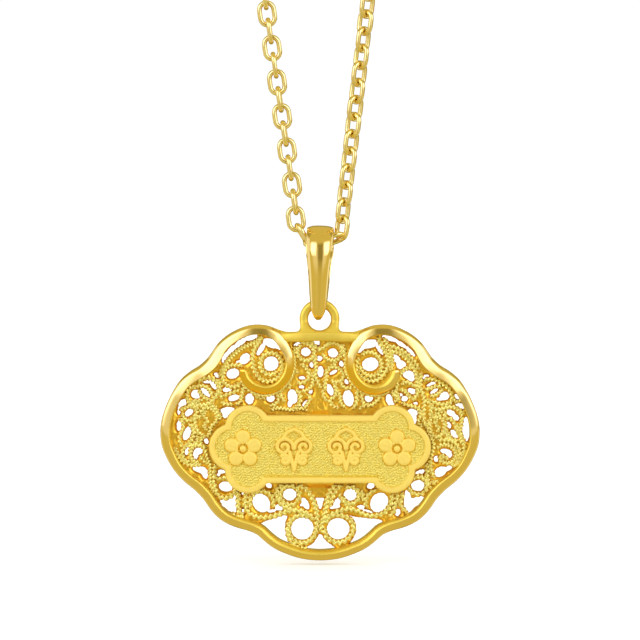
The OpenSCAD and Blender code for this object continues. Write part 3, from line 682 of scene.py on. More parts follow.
def twisted(rows, width, depth, hand=1, pitch=0.55, per_turn=18, lobe=5):
    """A rope of two wires twisted together and pressed flat in front, round the line of rows on the grid."""
    R = width * G / 2
    pts, length = curve(rows, pitch / per_turn / G)
    P = np.stack([gx(pts[:, 0]), gz(pts[:, 1])], 1)
    N = normals(P)
    n = len(P)
    # half section of one wire: circle of radius w round a middle at distance h
    w = R * 0.52
    h = R - w
    ang = np.linspace(-math.radians(120), math.radians(120), lobe)
    one = np.stack([h + w * np.cos(ang), w * np.sin(ang)], 1)
    sec = np.vstack([one, -one])
    m = len(sec)
    phi = hand * 2 * math.pi * np.arange(n) / per_turn
    end = np.minimum(np.arange(n), np.arange(n)[::-1]) / (per_turn * 0.45)
    e = np.where(end < 1, np.sqrt(np.maximum(0.03, 1 - (1 - np.minimum(end, 1)) ** 2)), 1)
    c, s = np.cos(phi) * e, np.sin(phi) * e
    across = sec[None, :, 0] * c[:, None] - sec[None, :, 1] * s[:, None]
    deep = sec[None, :, 0] * s[:, None] + sec[None, :, 1] * c[:, None]
    flat = -0.46 * R
    deep = np.where(deep < flat, flat + (deep - flat) * 0.28, deep)
    d = depth(pts[:, 0], pts[:, 1]) if callable(depth) else np.full(n, depth)
    V = np.stack([P[:, 0, None] + N[:, 0, None] * across,
                  d[:, None] + deep,
                  P[:, 1, None] + N[:, 1, None] * across], -1).reshape(-1, 3)
    F = outward(V, grid_faces(n, m, False)).tolist()
    # painted shade: the deeper sides of the strands and the grooves between them turn amber
    wire_painted_shade.extend(smoothstep(-0.42, 0.25, deep / R).ravel().tolist())
    return V, F + [list(range(m))[::-1], list(range((n - 1) * m, n * m))]


for name, wires in (("wires_left", WIRES_L + WIRES_C), ("wires_right", WIRES_R)):
    bag = Bag()
    wire_painted_shade = []
    for k, (w, p) in enumerate(wires):
        bag.add(*twisted(p, w + 0.3, -0.26 - 0.03 * (k % 3), hand=1 if k % 2 else -1,
                         pitch=0.84 if np.mean([q[1] for q in p]) > 482 else (0.56, 0.70, 0.62)[k % 3]))
    w, p = WIRES_SCROLL[0 if name == "wires_left" else 1]
    bag.add(*twisted(p, w + 0.3, -0.50, pitch=0.6))
    ob = make(name, bag.points(), bag.F, "pendant", (), sharp=70)
    ob.data.attributes.new("painted_shade", "FLOAT", "POINT").data.foreach_set("value", np.array(wire_painted_shade, np.float32))
# the same ropes from behind, a little narrower
bag = Bag()
wire_painted_shade = []
for k, (w, p) in enumerate(WIRES_L + WIRES_C + WIRES_R):
    V, F = twisted(p, w - 0.5, -0.56 - 0.02 * (k % 3), hand=1 if k % 2 else -1, pitch=0.70, per_turn=12, lobe=4)
    bag.add(V * [1, -1, 1], [f[::-1] for f in F])
ob = make("wires_back", bag.points(), bag.F, "pendant", (), sharp=70)
ob.data.attributes.new("painted_shade", "FLOAT", "POINT").data.foreach_set("value", np.array(wire_painted_shade, np.float32))


# ---------------------------------------------------------------- plate behind and name plate
def support_sdf(X, Y):
    half = np.interp(Y, [389, 417, 483, 499], [0.5, 9, 15, 4.5])
    return np.minimum(np.minimum(half - np.abs(X - 320), Y - 389), 499 - Y)


def support_front(x, y, s):
    t = np.clip(s / 3.0, 0, 1)
    under = smoothstep(410, 416, y) * (1 - smoothstep(483, 490, y))
    return -0.06 - 0.54 * under - 0.1 * np.sqrt(np.maximum(0, 1 - (1 - t) ** 2))


V, F = plate(support_sdf, (300, 386, 340, 502), 1.0, support_front, lambda x, y, s: np.full(x.shape, 0.3))
make("back_support", V, F, "pendant", ("support",), sharp=60)


def plaque_sdf(X, Y):
    d = np.full(X.shape, -1e9)
    for sx in (-1, 1):
        for sy in (-1, 1):
            d = np.maximum(d, 23 - np.hypot(X - 320 - sx * 72, Y - 449 - sy * 21))
        d = np.maximum(d, 24 - np.hypot(X - 320 - sx * 87, Y - 447))
    bar = -d_poly(X, Y, [(248, 415), (392, 415), (392, 483), (248, 483)])
    return np.maximum(d, bar)


def blossom(x, y):
    """Raised five-petal blossom, height from 0 to 1, radius 18 steps."""
    h = np.zeros(x.shape)
    for i in range(5):
        a = math.radians(90 + i * 72)
        px, py = 11.2 * math.cos(a), -11.2 * math.sin(a)
        d = 7.1 - np.hypot(x - px, y - py)
        r = np.hypot(x - px, y - py)
        t = np.clip(d / 3.2, 0, 1)
        dome = np.sqrt(np.maximum(0, 1 - (1 - t) ** 2)) * (0.82 + 0.18 * (1 - (r / 7.1) ** 2))
        # fine veins running out from the middle
        th = np.arctan2(y - py * 0.0, x - px * 0.0)
        vein = 0.10 * np.maximum(0, np.cos(th * 15 + 1.2)) * smoothstep(5, 8, np.hypot(x, y))
        h = np.maximum(h, dome * (1 - vein))
    r = np.hypot(x, y)
    groove = smoothstep(3.6, 5.2, r)
    h = h * np.where(r < 6.2, groove, 1)
    mid = np.sqrt(np.maximum(0, 1 - np.clip(r / 3.4, 0, 1) ** 2))
    h = np.maximum(h, mid)
    for i in range(5):
        a = math.radians(90 + 36 + i * 72)
        q = np.hypot(x - 6.0 * math.cos(a), y + 6.0 * math.sin(a))
        h = np.maximum(h, 0.9 * np.sqrt(np.maximum(0, 1 - np.clip(q / 1.5, 0, 1) ** 2)))
    return h


def scroll(cx, cy, r0, r1, a0, a1, n=60):
    t = np.linspace(0, 1, n)
    r = r0 + (r1 - r0) * t
    a = np.radians(a0 + (a1 - a0) * t)
    return np.stack([cx + r * np.cos(a), cy - r * np.sin(a)], 1)


CLOUD = []
for sx in (1, -1):
    c = scroll(8.2, -1.0, 1.6, 8.0, 20, 560, 46)
    lead = np.array([(0.8, -15.2), (4.5, -13.8), (8, -11.4)])
    low = scroll(7.2, 9.8, 1.0, 4.6, 160, -330, 26)
    for line in (c, low):
        CLOUD.append(line * [sx, 1])
CLOUD.append(np.array([(-8.5, -8.6), (-5.4, -13.2), (0, -15.6), (5.4, -13.2), (8.5, -8.6)]))
CLOUD.append(np.array([(-3.4, 3.2), (0, 17.5), (3.4, 3.2)]))


def cloud(x, y):
    """Raised cloud head drawn with round strokes, height from 0 to 1."""
    h = np.zeros(x.shape)
    for line in CLOUD:
        d = d_line(x, y, line[::2] if len(line) > 12 else line)
        h = np.maximum(h, np.sqrt(np.maximum(0, 1 - np.clip(d / 1.75, 0, 1) ** 2)))
    return h


def ornaments(x, y):
    h = np.zeros(x.shape)
    for u in (-77, 77):
        h = np.maximum(h, blossom((x - 320 - u) / 1.06, (y - 448.5) / 1.06))
    for u in (-26, 26):
        h = np.maximum(h, cloud((x - 320 - u) / 1.22, (y - 448) / 1.22))
    return h


def plaque_front(x, y, s):
    top = -1.56
    t = np.clip(s / 2.2, 0, 1)
    edge = 0.16 * (1 - np.sqrt(np.maximum(0, 1 - (1 - t) ** 2)))
    sink = 0.19 * smoothstep(5.7, 6.6, s)
    field = smoothstep(6.0, 7.4, s)
    grain = 0.033 * (ripple(x, y, 2.5, 11) + ripple(x, y, 3.1, 12) + ripple(x, y, 2.0, 13))
    # border tipped a little upwards, and a fine line cut along its lower inner edge
    tip = 0.045 * np.clip((421 - y) / 6, 0, 1) - 0.05 * np.clip((y - 476) / 7, 0, 1)
    line = 0.055 * np.exp(-((y - 476.1) / 0.75) ** 2) * smoothstep(258, 264, x) * (1 - smoothstep(376, 382, x))
    out = top + 0.05 + tip * (1 - field) + edge + sink + field * grain + line
    h = ornaments(x, y)
    return np.where(h > 0.02, np.minimum(out, top + 0.17 - 0.165 * h), out)


def plaque_back(x, y, s):
    t = np.clip(s / 1.6, 0, 1)
    return -0.76 - 0.06 * (1 - np.sqrt(np.maximum(0, 1 - (1 - t) ** 2)))


V, F = plate(plaque_sdf, (206, 403, 434, 495), 0.62, plaque_front, plaque_back)
plaque_ob = make("name_plate", V, F, "pendant", ("plaque",), sharp=60)
mid = np.array([V[f].mean(0) for f in F])
mx, my = mid[:, 0] / G + CX, CY - (mid[:, 2] - PASS_Z) / G
raised = ornaments(mx, my)
PLATE_FINISH_AND_SHADE = ((plaque_sdf(mx, my) < 6.3) | (raised > 0.1) | (mid[:, 1] > -1.2)).astype(int)
# painted shade: the raised ornaments' walls take the deep amber material (index 2); 0 is satin, 1 the border
PLATE_FINISH_AND_SHADE[(raised > 0.02) & (raised < 0.5)] = 2

# ---------------------------------------------------------------- bail
BT, BF, TH = 1.85, 0.65, 0.6
ZT = 1.1 - BT
ZB = -73 * G + 1.17
# columns: height below the pass in grid steps, half width, of the outer face
BAIL_W = np.array([(-22, 13.2), (-16, 13.3), (-4, 13.4), (3.5, 13.4), (13.5, 12.3), (21.5, 11.4), (33.5, 10.3), (46.5, 9.3), (54.5, 8.7),
                   (58.5, 8.1), (62.5, 7.4), (66.5, 6.5), (70.5, 4.7), (72.5, 3.2), (74, 1.9)], float)
# slope of the face across the ribbon; columns: place in half widths, degrees at the left half, at the right half
BAIL_SLOPE = np.array([(0, 0, 0), (0.12, 2.2, 1.8), (0.22, 5.5, 4), (0.32, 11, 8.5), (0.45, 19, 16), (0.58, 28, 24), (0.66, 38, 30), (0.73, 48, 35),
                       (0.80, 52, 44), (0.87, 55, 53), (0.94, 60, 60), (1, 74, 74)], float)


def bail_front(a, length):
    """Front half of the inner outline: round top, easing into a straight of this length at the lean a, round foot."""
    ease, turn = 1.5, math.radians(8)
    theta, ds = [], []
    for t in np.linspace(math.pi / 2, math.pi + a - turn, 40):
        theta.append(t)
        ds.append(BT * (math.pi / 2 + a - turn) / 39)
    for q in np.linspace(0, 1, 13)[1:]:
        theta.append(math.pi + a - turn * (1 - q) ** 2)
        ds.append(ease / 12)
    for q in np.linspace(0, 1, 18)[1:]:
        theta.append(math.pi + a)
        ds.append(length / 17)
    for t in np.linspace(math.pi + a, 1.5 * math.pi, 18)[1:]:
        theta.append(t)
        ds.append(BF * (math.pi / 2 - a) / 17)
    theta = np.array(theta)
    mid = (theta[1:] + theta[:-1]) / 2
    y = np.concatenate([[0], np.cumsum(-np.sin(mid) * ds[1:])])
    z = ZT + BT + np.concatenate([[0], np.cumsum(np.cos(mid) * ds[1:])])
    return np.stack([y, z, np.cos(theta), np.sin(theta)], 1)


def bail_loop():
    """Inner outline of the loop in the Y-Z plane and its outward normals, from the top down the front."""
    a, length = math.asin((BT - BF) / (ZT - ZB)), 2.5
    for _ in range(40):
        end = bail_front(a, length)[-1]
        # lean settles the foot's middle on y = 0, length its height
        a -= 0.15 * end[0]
        length += 0.8 * (end[1] - (ZB - BF))
    half = bail_front(a, length)
    other = (half * [-1, 1, -1, 1])[-2:0:-1]
    return np.vstack([half, other])


loop = bail_loop()
fine = np.linspace(0, 1, 201)
drops = [np.concatenate([[0], np.cumsum(np.tan(np.radians(np.interp(fine[:-1] + 0.0025, BAIL_SLOPE[:, 0], BAIL_SLOPE[:, c]))) * 0.005)]) for c in (1, 2)]
V = []
across = np.array([-1, -0.985, -0.94, -0.88, -0.8, -0.745, -0.7, -0.64, -0.54, -0.42, -0.28, -0.14])
across = np.concatenate([across, [0], -across[::-1]])
for (y, z, ny, nz) in loop:
    zo = z + nz * TH
    hw = np.interp(-zo / G, BAIL_W[:, 0], BAIL_W[:, 1]) * G
    d = np.where(across < 0, np.interp(-across, fine, drops[0]), np.interp(across, fine, drops[1])) * hw
    d = d * (1 - 0.70 * smoothstep(0.25, 1.0, nz)) * (1 - 0.85 * smoothstep(0.0, 1.0, -nz) * (z < ZB))
    d = np.minimum(d, TH - 0.07 - 0.02 * (1 - np.abs(across)))
    for a, e in zip(across, d):
        V.append((hw * a, y + ny * (TH - e), z + nz * (TH - e)))
    # the back of the ribbon; the wall is thinner over the top, where the chain lies
    for k in (0.93, 0.45, 0, -0.45, -0.93):
        off = min(0.05 * k * k + 0.32 * smoothstep(0.2, 0.85, nz), TH - float(np.interp(k, across, d)) - 0.07)
        V.append((hw * k, y + ny * off, z + nz * off))
V = np.array(V)
F = outward(V, grid_faces(len(loop), len(across) + 5, True)).tolist()
lean = math.radians(1.4)
turn = math.radians(1.6)
x, y, z = V[:, 0].copy(), V[:, 1].copy(), V[:, 2].copy()
x, y = x * math.cos(turn) + y * math.sin(turn), -x * math.sin(turn) + y * math.cos(turn)
x, z = x * math.cos(lean) + z * math.sin(lean), -x * math.sin(lean) + z * math.cos(lean)
V = np.stack([x, y, z + PASS_Z], 1)
bail_ob = make("bail_loop", V, F, "bail", ("bail",), sharp=50)

# ---------------------------------------------------------------- chain: separate links
WIRE = 0.212
HX, HZ = 1.12 - WIRE, 0.80 - WIRE    # half sizes of a link's middle line


def link_mesh(n=26, m=8):
    """One oval link in its own X-Y plane, long along X."""
    t = np.linspace(0, 2 * math.pi, n, endpoint=False)
    # straight-sided oval
    straight = HX - HZ
    per = 4 * straight + 2 * math.pi * HZ
    s = np.linspace(0, per, n, endpoint=False)
    P, N = [], []
    for q in s:
        if q < 2 * straight:
            P.append((straight - q, HZ)); N.append((0, 1))
        elif q < 2 * straight + math.pi * HZ:
            a = math.pi / 2 + (q - 2 * straight) / HZ
            P.append((-straight + HZ * math.cos(a), HZ * math.sin(a))); N.append((math.cos(a), math.sin(a)))
        elif q < 4 * straight + math.pi * HZ:
            P.append((-straight + (q - 2 * straight - math.pi * HZ), -HZ)); N.append((0, -1))
        else:
            a = -math.pi / 2 + (q - 4 * straight - math.pi * HZ) / HZ
            P.append((straight + HZ * math.cos(a), HZ * math.sin(a))); N.append((math.cos(a), math.sin(a)))
    P, N = np.array(P), np.array(N)
    # a slight waist makes the sides bulge less
    b = np.linspace(0, 2 * math.pi, m, endpoint=False) + math.pi / m
    V = np.stack([P[:, 0, None] + N[:, 0, None] * WIRE * np.cos(b),
                  P[:, 1, None] + N[:, 1, None] * WIRE * np.cos(b),
                  np.broadcast_to(WIRE * np.sin(b), (n, m))], -1).reshape(-1, 3)
    return V, outward(V, grid_faces(n, m, True)).tolist()


LINK_V, LINK_F = link_mesh()


def place_link(bag, mid, along, roll, size=1.0):
    """mid and along in the X-Z plane, millimetres; roll about the link's own length, 0 is face-on."""
    ax = np.array([along[0], 0, along[1]], float)
    ax /= np.linalg.norm(ax)
    side = np.array([-ax[2], 0, ax[0]])
    deep = np.array([0, 1.0, 0])
    c, s = math.cos(roll), math.sin(roll)
    e1 = side * c + deep * s
    e2 = -side * s + deep * c
    M = np.stack([ax, e1, e2], 0)
    W = (LINK_V * size) @ M + np.array([mid[0], 0, mid[1]])
    bag.add(W, LINK_F)


APEX = np.array([2 * G, -144 * G])
FORK = (LEAN_L + LEAN_R) / 2
STRAND_END = TOP_R / math.tan(FORK)
CLASP = math.radians(20)
CLASP_R = 2.6


def strand(side, s):
    """Point and direction at distance s from the meeting point of the straight strands, then round the top bend."""
    lean = LEAN_L if side < 0 else LEAN_R
    if s <= STRAND_END:
        u = np.array([side * math.sin(lean), math.cos(lean)])
        return APEX + s * u, u
    a = (math.pi / 2 + lean) * side - side * (s - STRAND_END) / TOP_R
    p = np.array(TOP_C) + TOP_R * np.array([math.sin(a), math.cos(a)])
    return p, side * np.array([-math.cos(a), math.sin(a)])


rng = np.random.default_rng(7)
PITCH = 17.25 * G
eye_reach = CLASP_R + 0.95           # from the clasp's middle to the middle of its small eye
ends = {}
for side, name, s0, roll0 in ((-1, "chain_left", 173.3 * G, 0.0), (1, "chain_right", 163.9 * G, math.radians(45))):
    arc = TOP_R * ((math.pi / 2 + (LEAN_L if side < 0 else LEAN_R)) - side * CLASP)
    total = STRAND_END + arc - eye_reach - 0.55
    count = int(round((total - s0) / PITCH))
    pitch = (total - s0) / count
    bag = Bag()
    for k in range(count + 1):
        s = s0 + k * pitch
        p, u = strand(side, s)
        if k == 0:
            # the lowest link sits out a little, clear of the bail as it swings
            p = p + [0.085 if side > 0 else -0.1, 0]
        jitter = math.radians(rng.uniform(-5, 5))
        roll = roll0 + (math.pi / 2 if k % 2 else 0) + jitter
        place_link(bag, (p[0], PASS_Z + p[1]), u, roll)
    ends[side] = (count, roll0, pitch)
    if side > 0:
        # the three links that carry the bail
        def at(x, y):
            return np.array([float(gx(x)), float(gz(y))])
        a, b, c, d = at(298.4, 227.5), at(307.6, 242.3), at(324.8, 241.9), at(341.2, 236.6)
        for p, q, roll in ((a, b, math.radians(99)), (b, c, math.radians(55)), (c, d, math.radians(-62))):
            place_link(bag, (p + q) / 2, q - p, roll)
    make(name, bag.points(), bag.F, "chain", ("chain",), sharp=60)

# ---------------------------------------------------------------- clasp: spring ring with a small lever
clasp_mid = np.array([TOP_C[0] + TOP_R * math.sin(CLASP), PASS_Z + TOP_C[1] + TOP_R * math.cos(CLASP)])
tang = np.array([math.cos(CLASP), -math.sin(CLASP)])
up = np.array([math.sin(CLASP), math.cos(CLASP)])


def torus(bag, mid, R, r, n=48, m=14, flat=True, a0=0, a1=2 * math.pi, sx=1.0, sz=1.0):
    closed = abs(a1 - a0 - 2 * math.pi) < 1e-6
    t = np.linspace(a0, a1, n, endpoint=not closed)
    b = np.linspace(0, 2 * math.pi, m, endpoint=False)
    ring = R + r * np.cos(b)
    V = np.stack([ring[None] * np.cos(t)[:, None] * sx, np.broadcast_to(r * np.sin(b), (n, m)), ring[None] * np.sin(t)[:, None] * sz], -1).reshape(-1, 3)
    if not flat:
        V = V[:, [0, 2, 1]]
    W = np.stack([mid[0] + V[:, 0] * tang[0] + V[:, 2] * up[0], V[:, 1], mid[1] + V[:, 0] * tang[1] + V[:, 2] * up[1]], 1)
    F = outward(W, grid_faces(n, m, closed)).tolist()
    if not closed:
        F += [list(range(m)), list(range((n - 1) * m, n * m))]
    bag.add(W, F)


bag = Bag()
torus(bag, clasp_mid, CLASP_R - 0.55, 0.5, 72, 18)
for s in (-1, 1):
    torus(bag, clasp_mid + tang * s * (CLASP_R + 0.35), 0.52, 0.17, 28, 10)
    # collar where the eye is soldered on
    torus(bag, clasp_mid + tang * s * (CLASP_R - 0.12), 0.2, 0.2, 20, 10)
torus(bag, clasp_mid, CLASP_R - 0.55, 0.56, 6, 18, a0=math.radians(52), a1=math.radians(60))
torus(bag, clasp_mid, CLASP_R - 0.55, 0.56, 6, 18, a0=math.radians(118), a1=math.radians(126))
torus(bag, clasp_mid + up * (CLASP_R - 0.08) + tang * 0.2, 0.16, 0.14, 20, 10, flat=False)
make("spring_clasp", bag.points(), bag.F, "chain", ("clasp",), sharp=50)


# ---------------------------------------------------------------- materials
def gold(name, base, rough, bump=(), vary=0.06, scale=900.0, rough_vary=0.05, painted_shade_color=None, metal=1.0):
    """Metal with soft changes of tint and roughness; bump is a list of (texture, scale, strength, distance). The shade
    colour, when given, is
    painted shade: the deep amber that the metal takes where the mesh's painted-shade attribute is 1."""
    mat = bpy.data.materials.new(name)
    mat.use_nodes = True
    nt = mat.node_tree
    nt.nodes.clear()
    out = nt.nodes.new("ShaderNodeOutputMaterial")
    bsdf = nt.nodes.new("ShaderNodeBsdfPrincipled")
    nt.links.new(bsdf.outputs[0], out.inputs[0])
    bsdf.inputs["Metallic"].default_value = metal
    coord = nt.nodes.new("ShaderNodeTexCoord")
    noise = nt.nodes.new("ShaderNodeTexNoise")
    noise.inputs["Scale"].default_value = scale
    noise.inputs["Detail"].default_value = 3
    nt.links.new(coord.outputs["Object"], noise.inputs["Vector"])
    ramp = nt.nodes.new("ShaderNodeValToRGB")
    lo = [c * (1 - vary) for c in base]
    hi = [min(1.0, c * (1 + vary)) for c in base]
    ramp.color_ramp.elements[0].position, ramp.color_ramp.elements[0].color = 0.3, (*lo, 1)
    ramp.color_ramp.elements[1].position, ramp.color_ramp.elements[1].color = 0.7, (*hi, 1)
    nt.links.new(noise.outputs["Fac"], ramp.inputs["Fac"])
    if painted_shade_color:
        # painted shade: the colour is mixed towards deep amber by the mesh's painted-shade attribute
        painted_shade = nt.nodes.new("ShaderNodeAttribute")
        painted_shade.attribute_name = "painted_shade"
        mix = nt.nodes.new("ShaderNodeMixRGB")
        mix.inputs["Color2"].default_value = (*painted_shade_color, 1)
        nt.links.new(painted_shade.outputs["Fac"], mix.inputs["Fac"])
        nt.links.new(ramp.outputs["Color"], mix.inputs["Color1"])
        nt.links.new(mix.outputs["Color"], bsdf.inputs["Base Color"])
    else:
        nt.links.new(ramp.outputs["Color"], bsdf.inputs["Base Color"])
    mr = nt.nodes.new("ShaderNodeMapRange")
    mr.inputs["To Min"].default_value = max(0.02, rough - rough_vary)
    mr.inputs["To Max"].default_value = rough + rough_vary
    nt.links.new(noise.outputs["Fac"], mr.inputs["Value"])
    nt.links.new(mr.outputs["Result"], bsdf.inputs["Roughness"])
    last = None
    for kind, sc, strength, distance in bump:
        if kind == "voronoi":
            tex = nt.nodes.new("ShaderNodeTexVoronoi")
            tex.feature = "F1"
            value = tex.outputs["Distance"]
        else:
            tex = nt.nodes.new("ShaderNodeTexNoise")
            tex.inputs["Detail"].default_value = 2
            value = tex.outputs["Fac"]
        tex.inputs["Scale"].default_value = sc
        nt.links.new(coord.outputs["Object"], tex.inputs["Vector"])
        b = nt.nodes.new("ShaderNodeBump")
        b.inputs["Strength"].default_value = strength
        b.inputs["Distance"].default_value = distance
        nt.links.new(value, b.inputs["Height"])
        if last:
            nt.links.new(last.outputs["Normal"], b.inputs["Normal"])
        last = b
    if last:
        nt.links.new(last.outputs["Normal"], bsdf.inputs["Normal"])
    return mat


GOLD = (0.99, 0.75, 0.30)
m_polish = gold("polished_gold", GOLD, 0.13, [("noise", 700, 0.12, 0.00002)], vary=0.02)
m_bail = gold("bright_gold", GOLD, 0.09, [("noise", 500, 0.10, 0.00002)], vary=0.015, rough_vary=0.03)
# rim gold, with painted shade, deep amber, on the scrolls' outer slopes
m_rim = gold("rim_gold", GOLD, 0.15, [("noise", 700, 0.12, 0.00002)], vary=0.02, painted_shade_color=(1.0, 0.64, 0.08))
m_soft = gold("soft_gold", (1.0, 0.75, 0.135), 0.45, [("noise", 1400, 0.3, 0.00002)], vary=0.05, metal=0.92)
# filigree gold, with painted shade, amber, down in the ropes' grooves
m_wire = gold("filigree_gold", (1.0, 0.83, 0.26), 0.30, [("noise", 4600, 0.9, 0.00003)], vary=0.12, scale=2600, rough_vary=0.08, painted_shade_color=(1.0, 0.62, 0.07), metal=0.86)
# painted shade: deep amber gold for the cast base, the plate behind and the ornaments' walls, where the metal lies in
# shade
m_painted_shade = gold("painted_shade_gold", (1.0, 0.61, 0.06), 0.32, [("noise", 3200, 0.8, 0.00004)], rough_vary=0.08, metal=0.84)
m_satin = gold("satin_gold", (0.98, 0.79, 0.205), 0.48, [("noise", 5200, 0.8, 0.00003)], vary=0.10, scale=6000, rough_vary=0.12, metal=0.88)
m_border = gold("border_gold", (0.99, 0.78, 0.195), 0.60, [("noise", 900, 0.2, 0.00002)], vary=0.01, metal=0.66)
m_chain = gold("chain_gold", (1.0, 0.80, 0.38), 0.15, [("noise", 900, 0.12, 0.00002)])
FINISH = {"rim_frame": m_rim, "bail_loop": m_bail, "spring_clasp": m_polish, "filigree_base": m_painted_shade, "wires_left": m_wire,
          "wires_right": m_wire, "wires_back": m_wire, "back_support": m_painted_shade, "name_plate": m_satin, "chain_left": m_chain, "chain_right": m_chain}
for name, mat in FINISH.items():
    me = bpy.data.objects[name].data
    me.materials.clear()
    me.materials.append(mat)
plaque_ob.data.materials.append(m_border)
plaque_ob.data.materials.append(m_painted_shade)
rim_ob.data.materials.append(m_soft)
rim_ob.data.polygons.foreach_set("material_index", np.array(rim_kind))
plaque_ob.data.polygons.foreach_set("material_index", PLATE_FINISH_AND_SHADE)


# ---------------------------------------------------------------- stage and light
def plain(name, color, rough=0.5, emit=0.0):
    mat = bpy.data.materials.new(name)
    mat.use_nodes = True
    b = mat.node_tree.nodes["Principled BSDF"]
    b.inputs["Base Color"].default_value = (*color, 1)
    b.inputs["Roughness"].default_value = rough
    if emit:
        b.inputs["Emission Color"].default_value = (1, 1, 1, 1)
        b.inputs["Emission Strength"].default_value = emit
    return mat


FLOOR_Z = float(gz(566)) * 0.001
fm = bpy.data.meshes.new("floor")
fs = 3.0
fm.from_pydata([(-fs, -fs, FLOOR_Z), (fs, -fs, FLOOR_Z), (fs, fs, FLOOR_Z), (-fs, fs, FLOOR_Z)], [], [(0, 1, 2, 3)])
floor = bpy.data.objects.new("floor", fm)
bpy.context.scene.collection.objects.link(floor)
fm.materials.append(plain("floor_white", (0.80, 0.80, 0.80), 0.6, 0.42))
floor.visible_glossy = False


world = bpy.data.worlds.new("studio")
bpy.context.scene.world = world
world.use_nodes = True
nt = world.node_tree
nt.nodes.clear()


def math_node(op, a, b=None, clamp=False):
    n = nt.nodes.new("ShaderNodeMath")
    n.operation = op
    n.use_clamp = clamp
    for k, v in enumerate((a, b)):
        if v is None:
            continue
        if isinstance(v, (int, float)):
            n.inputs[k].default_value = v
        else:
            nt.links.new(v, n.inputs[k])
    return n.outputs[0]


# studio: white soft boxes on a wall in front of the pendant, at distance 1, in a room with warm pale walls. Columns: across from,
# to (positive to the pendant's right side in the view), height from (plus 0.30 of the way across beyond 1), to (less 0.38 of the way
# across at the top), soft edges at
# left, right, bottom, top, share of white light, white light added, room light added
WALL = [
    (-9.0, -0.28, -0.03, 1.15, 1.0, 0.10, 0.10, 0.75, 1.0, 0.0, 0.0),
    (-2.6, -0.38, 0.20, 1.00, 1.2, 0.40, 0.40, 0.50, 0.0, 1.0, 0.0),
    (0.38, 9.0, -0.04, 1.15, 0.10, 1.0, 0.10, 0.75, 1.0, 0.0, 0.0),
    (0.48, 2.6, 0.18, 1.00, 0.40, 1.2, 0.40, 0.50, 0.0, 1.0, 0.0),
    (-1.1, -0.14, -0.66, 0.60, 0.9, 0.14, 0.50, 0.40, 0.34, 0.0, 0.0),
    (0.22, 1.1, -0.66, 0.60, 0.14, 0.9, 0.50, 0.40, 0.34, 0.0, 0.0),
    (-0.16, 0.26, -0.52, 1.05, 0.14, 0.14, 0.90, 0.70, 0.0, 0.0, -0.38),
]
# and round about, by angle. Columns: azimuth from, to, elevation from, to, soft edge in degrees, share of white light, room light added
AROUND = [
    (94, 122, -65, -10, 8, 0.75, 0.0),
    (94, 122, 4, 32, 8, 0.7, 0.0),
    (-122, -94, -65, 32, 8, 0.7, 0.0),
    (98, 140, -70, 62, 10, 0.0, -0.26),
    (-140, -98, -70, 62, 10, 0.0, -0.26),
    (140, 190, -70, 34, 10, 0.0, -0.26),
    (-190, -140, -70, 34, 10, 0.0, -0.26),
]
coord = nt.nodes.new("ShaderNodeTexCoord")
xyz = nt.nodes.new("ShaderNodeSeparateXYZ")
nt.links.new(coord.outputs["Generated"], xyz.inputs[0])
azimuth = math_node("ARCTAN2", xyz.outputs["X"], math_node("MULTIPLY", xyz.outputs["Y"], -1.0))
elevation = math_node("ARCSINE", xyz.outputs["Z"])


def rise(value, a, b, top):
    """Smooth step of the value from a to b, up to top."""
    n = nt.nodes.new("ShaderNodeMapRange")
    n.interpolation_type = "SMOOTHSTEP"
    n.inputs["From Min"].default_value = a
    n.inputs["From Max"].default_value = b
    n.inputs["To Min"].default_value = 0
    n.inputs["To Max"].default_value = top
    nt.links.new(value, n.inputs["Value"])
    return n.outputs["Result"]


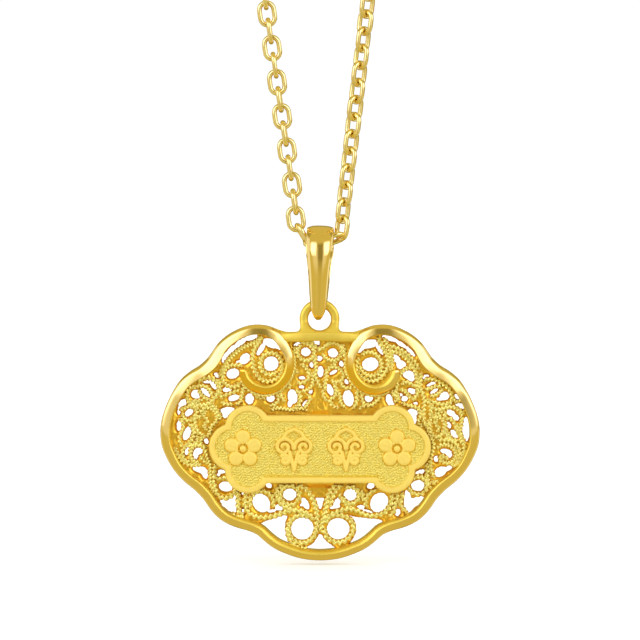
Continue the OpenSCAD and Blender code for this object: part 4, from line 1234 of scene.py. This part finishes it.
ahead = math_node("MAXIMUM", math_node("MULTIPLY", xyz.outputs["Y"], -1.0), 0.02)
wall_x = math_node("DIVIDE", xyz.outputs["X"], ahead)
wall_z = math_node("DIVIDE", xyz.outputs["Z"], ahead)
wall_top = math_node("SUBTRACT", wall_z, math_node("MULTIPLY", math_node("ABSOLUTE", wall_x), 0.38))
wall_low = math_node("SUBTRACT", wall_z, math_node("MULTIPLY", math_node("MAXIMUM", math_node("SUBTRACT", math_node("ABSOLUTE", wall_x), 1.4), 0.0), 0.35))
facing = rise(xyz.outputs["Y"], -0.02, -0.10, 1)
room, share, white = 0.69, 0.0, 1.15
for x0, x1, z0, z1, left, right, low, high, boxed, brighter, darker in WALL:
    part = rise(wall_x, x0 - left / 2, x0 + left / 2, 1)
    part = math_node("MULTIPLY", part, rise(wall_x, x1 + right / 2, x1 - right / 2, 1))
    part = math_node("MULTIPLY", part, rise(wall_low, z0 - low / 2, z0 + low / 2, 1))
    part = math_node("MULTIPLY", part, rise(wall_top, z1 + high / 2, z1 - high / 2, 1))
    part = math_node("MULTIPLY", part, facing)
    if boxed:
        share = math_node("MAXIMUM", math_node("MULTIPLY", part, boxed), share)
    if brighter:
        white = math_node("ADD", math_node("MULTIPLY", part, brighter), white)
    if darker:
        room = math_node("ADD", math_node("MULTIPLY", part, darker), room)
for a0, a1, e0, e1, soft, boxed, darker in AROUND:
    h = math.radians(soft / 2)
    a0, a1, e0, e1 = (math.radians(v) for v in (a0, a1, e0, e1))
    part = rise(azimuth, a0 - h, a0 + h, 1)
    part = math_node("MULTIPLY", part, rise(azimuth, a1 + h, a1 - h, 1))
    part = math_node("MULTIPLY", part, rise(elevation, e0 - h, e0 + h, 1))
    part = math_node("MULTIPLY", part, rise(elevation, e1 + h, e1 - h, 1))
    if boxed:
        share = math_node("MAXIMUM", math_node("MULTIPLY", part, boxed), share)
    if darker:
        room = math_node("ADD", math_node("MULTIPLY", part, darker), room)
wo = nt.nodes.new("ShaderNodeOutputWorld")
lp = nt.nodes.new("ShaderNodeLightPath")


def background(color, strength):
    b = nt.nodes.new("ShaderNodeBackground")
    b.inputs["Color"].default_value = (*color, 1)
    if isinstance(strength, float):
        b.inputs["Strength"].default_value = strength
    else:
        nt.links.new(strength, b.inputs["Strength"])
    return b.outputs[0]


def mixed(factor, one, other):
    m = nt.nodes.new("ShaderNodeMixShader")
    nt.links.new(factor, m.inputs[0])
    nt.links.new(one, m.inputs[1])
    nt.links.new(other, m.inputs[2])
    return m.outputs[0]


seen = mixed(share, background((0.94, 0.80, 0.27), math_node("MAXIMUM", room, 0.03)), background((1, 1, 1), white))
plain = math_node("MAXIMUM", lp.outputs["Is Camera Ray"], lp.outputs["Is Diffuse Ray"])
nt.links.new(mixed(plain, seen, background((1, 1, 1), 1.05)), wo.inputs[0])

sc = bpy.context.scene
sc.view_settings.view_transform = "Standard"
sc.view_settings.look = "None"
sc.view_settings.exposure = 0.0

bpy.context.view_layer.update()
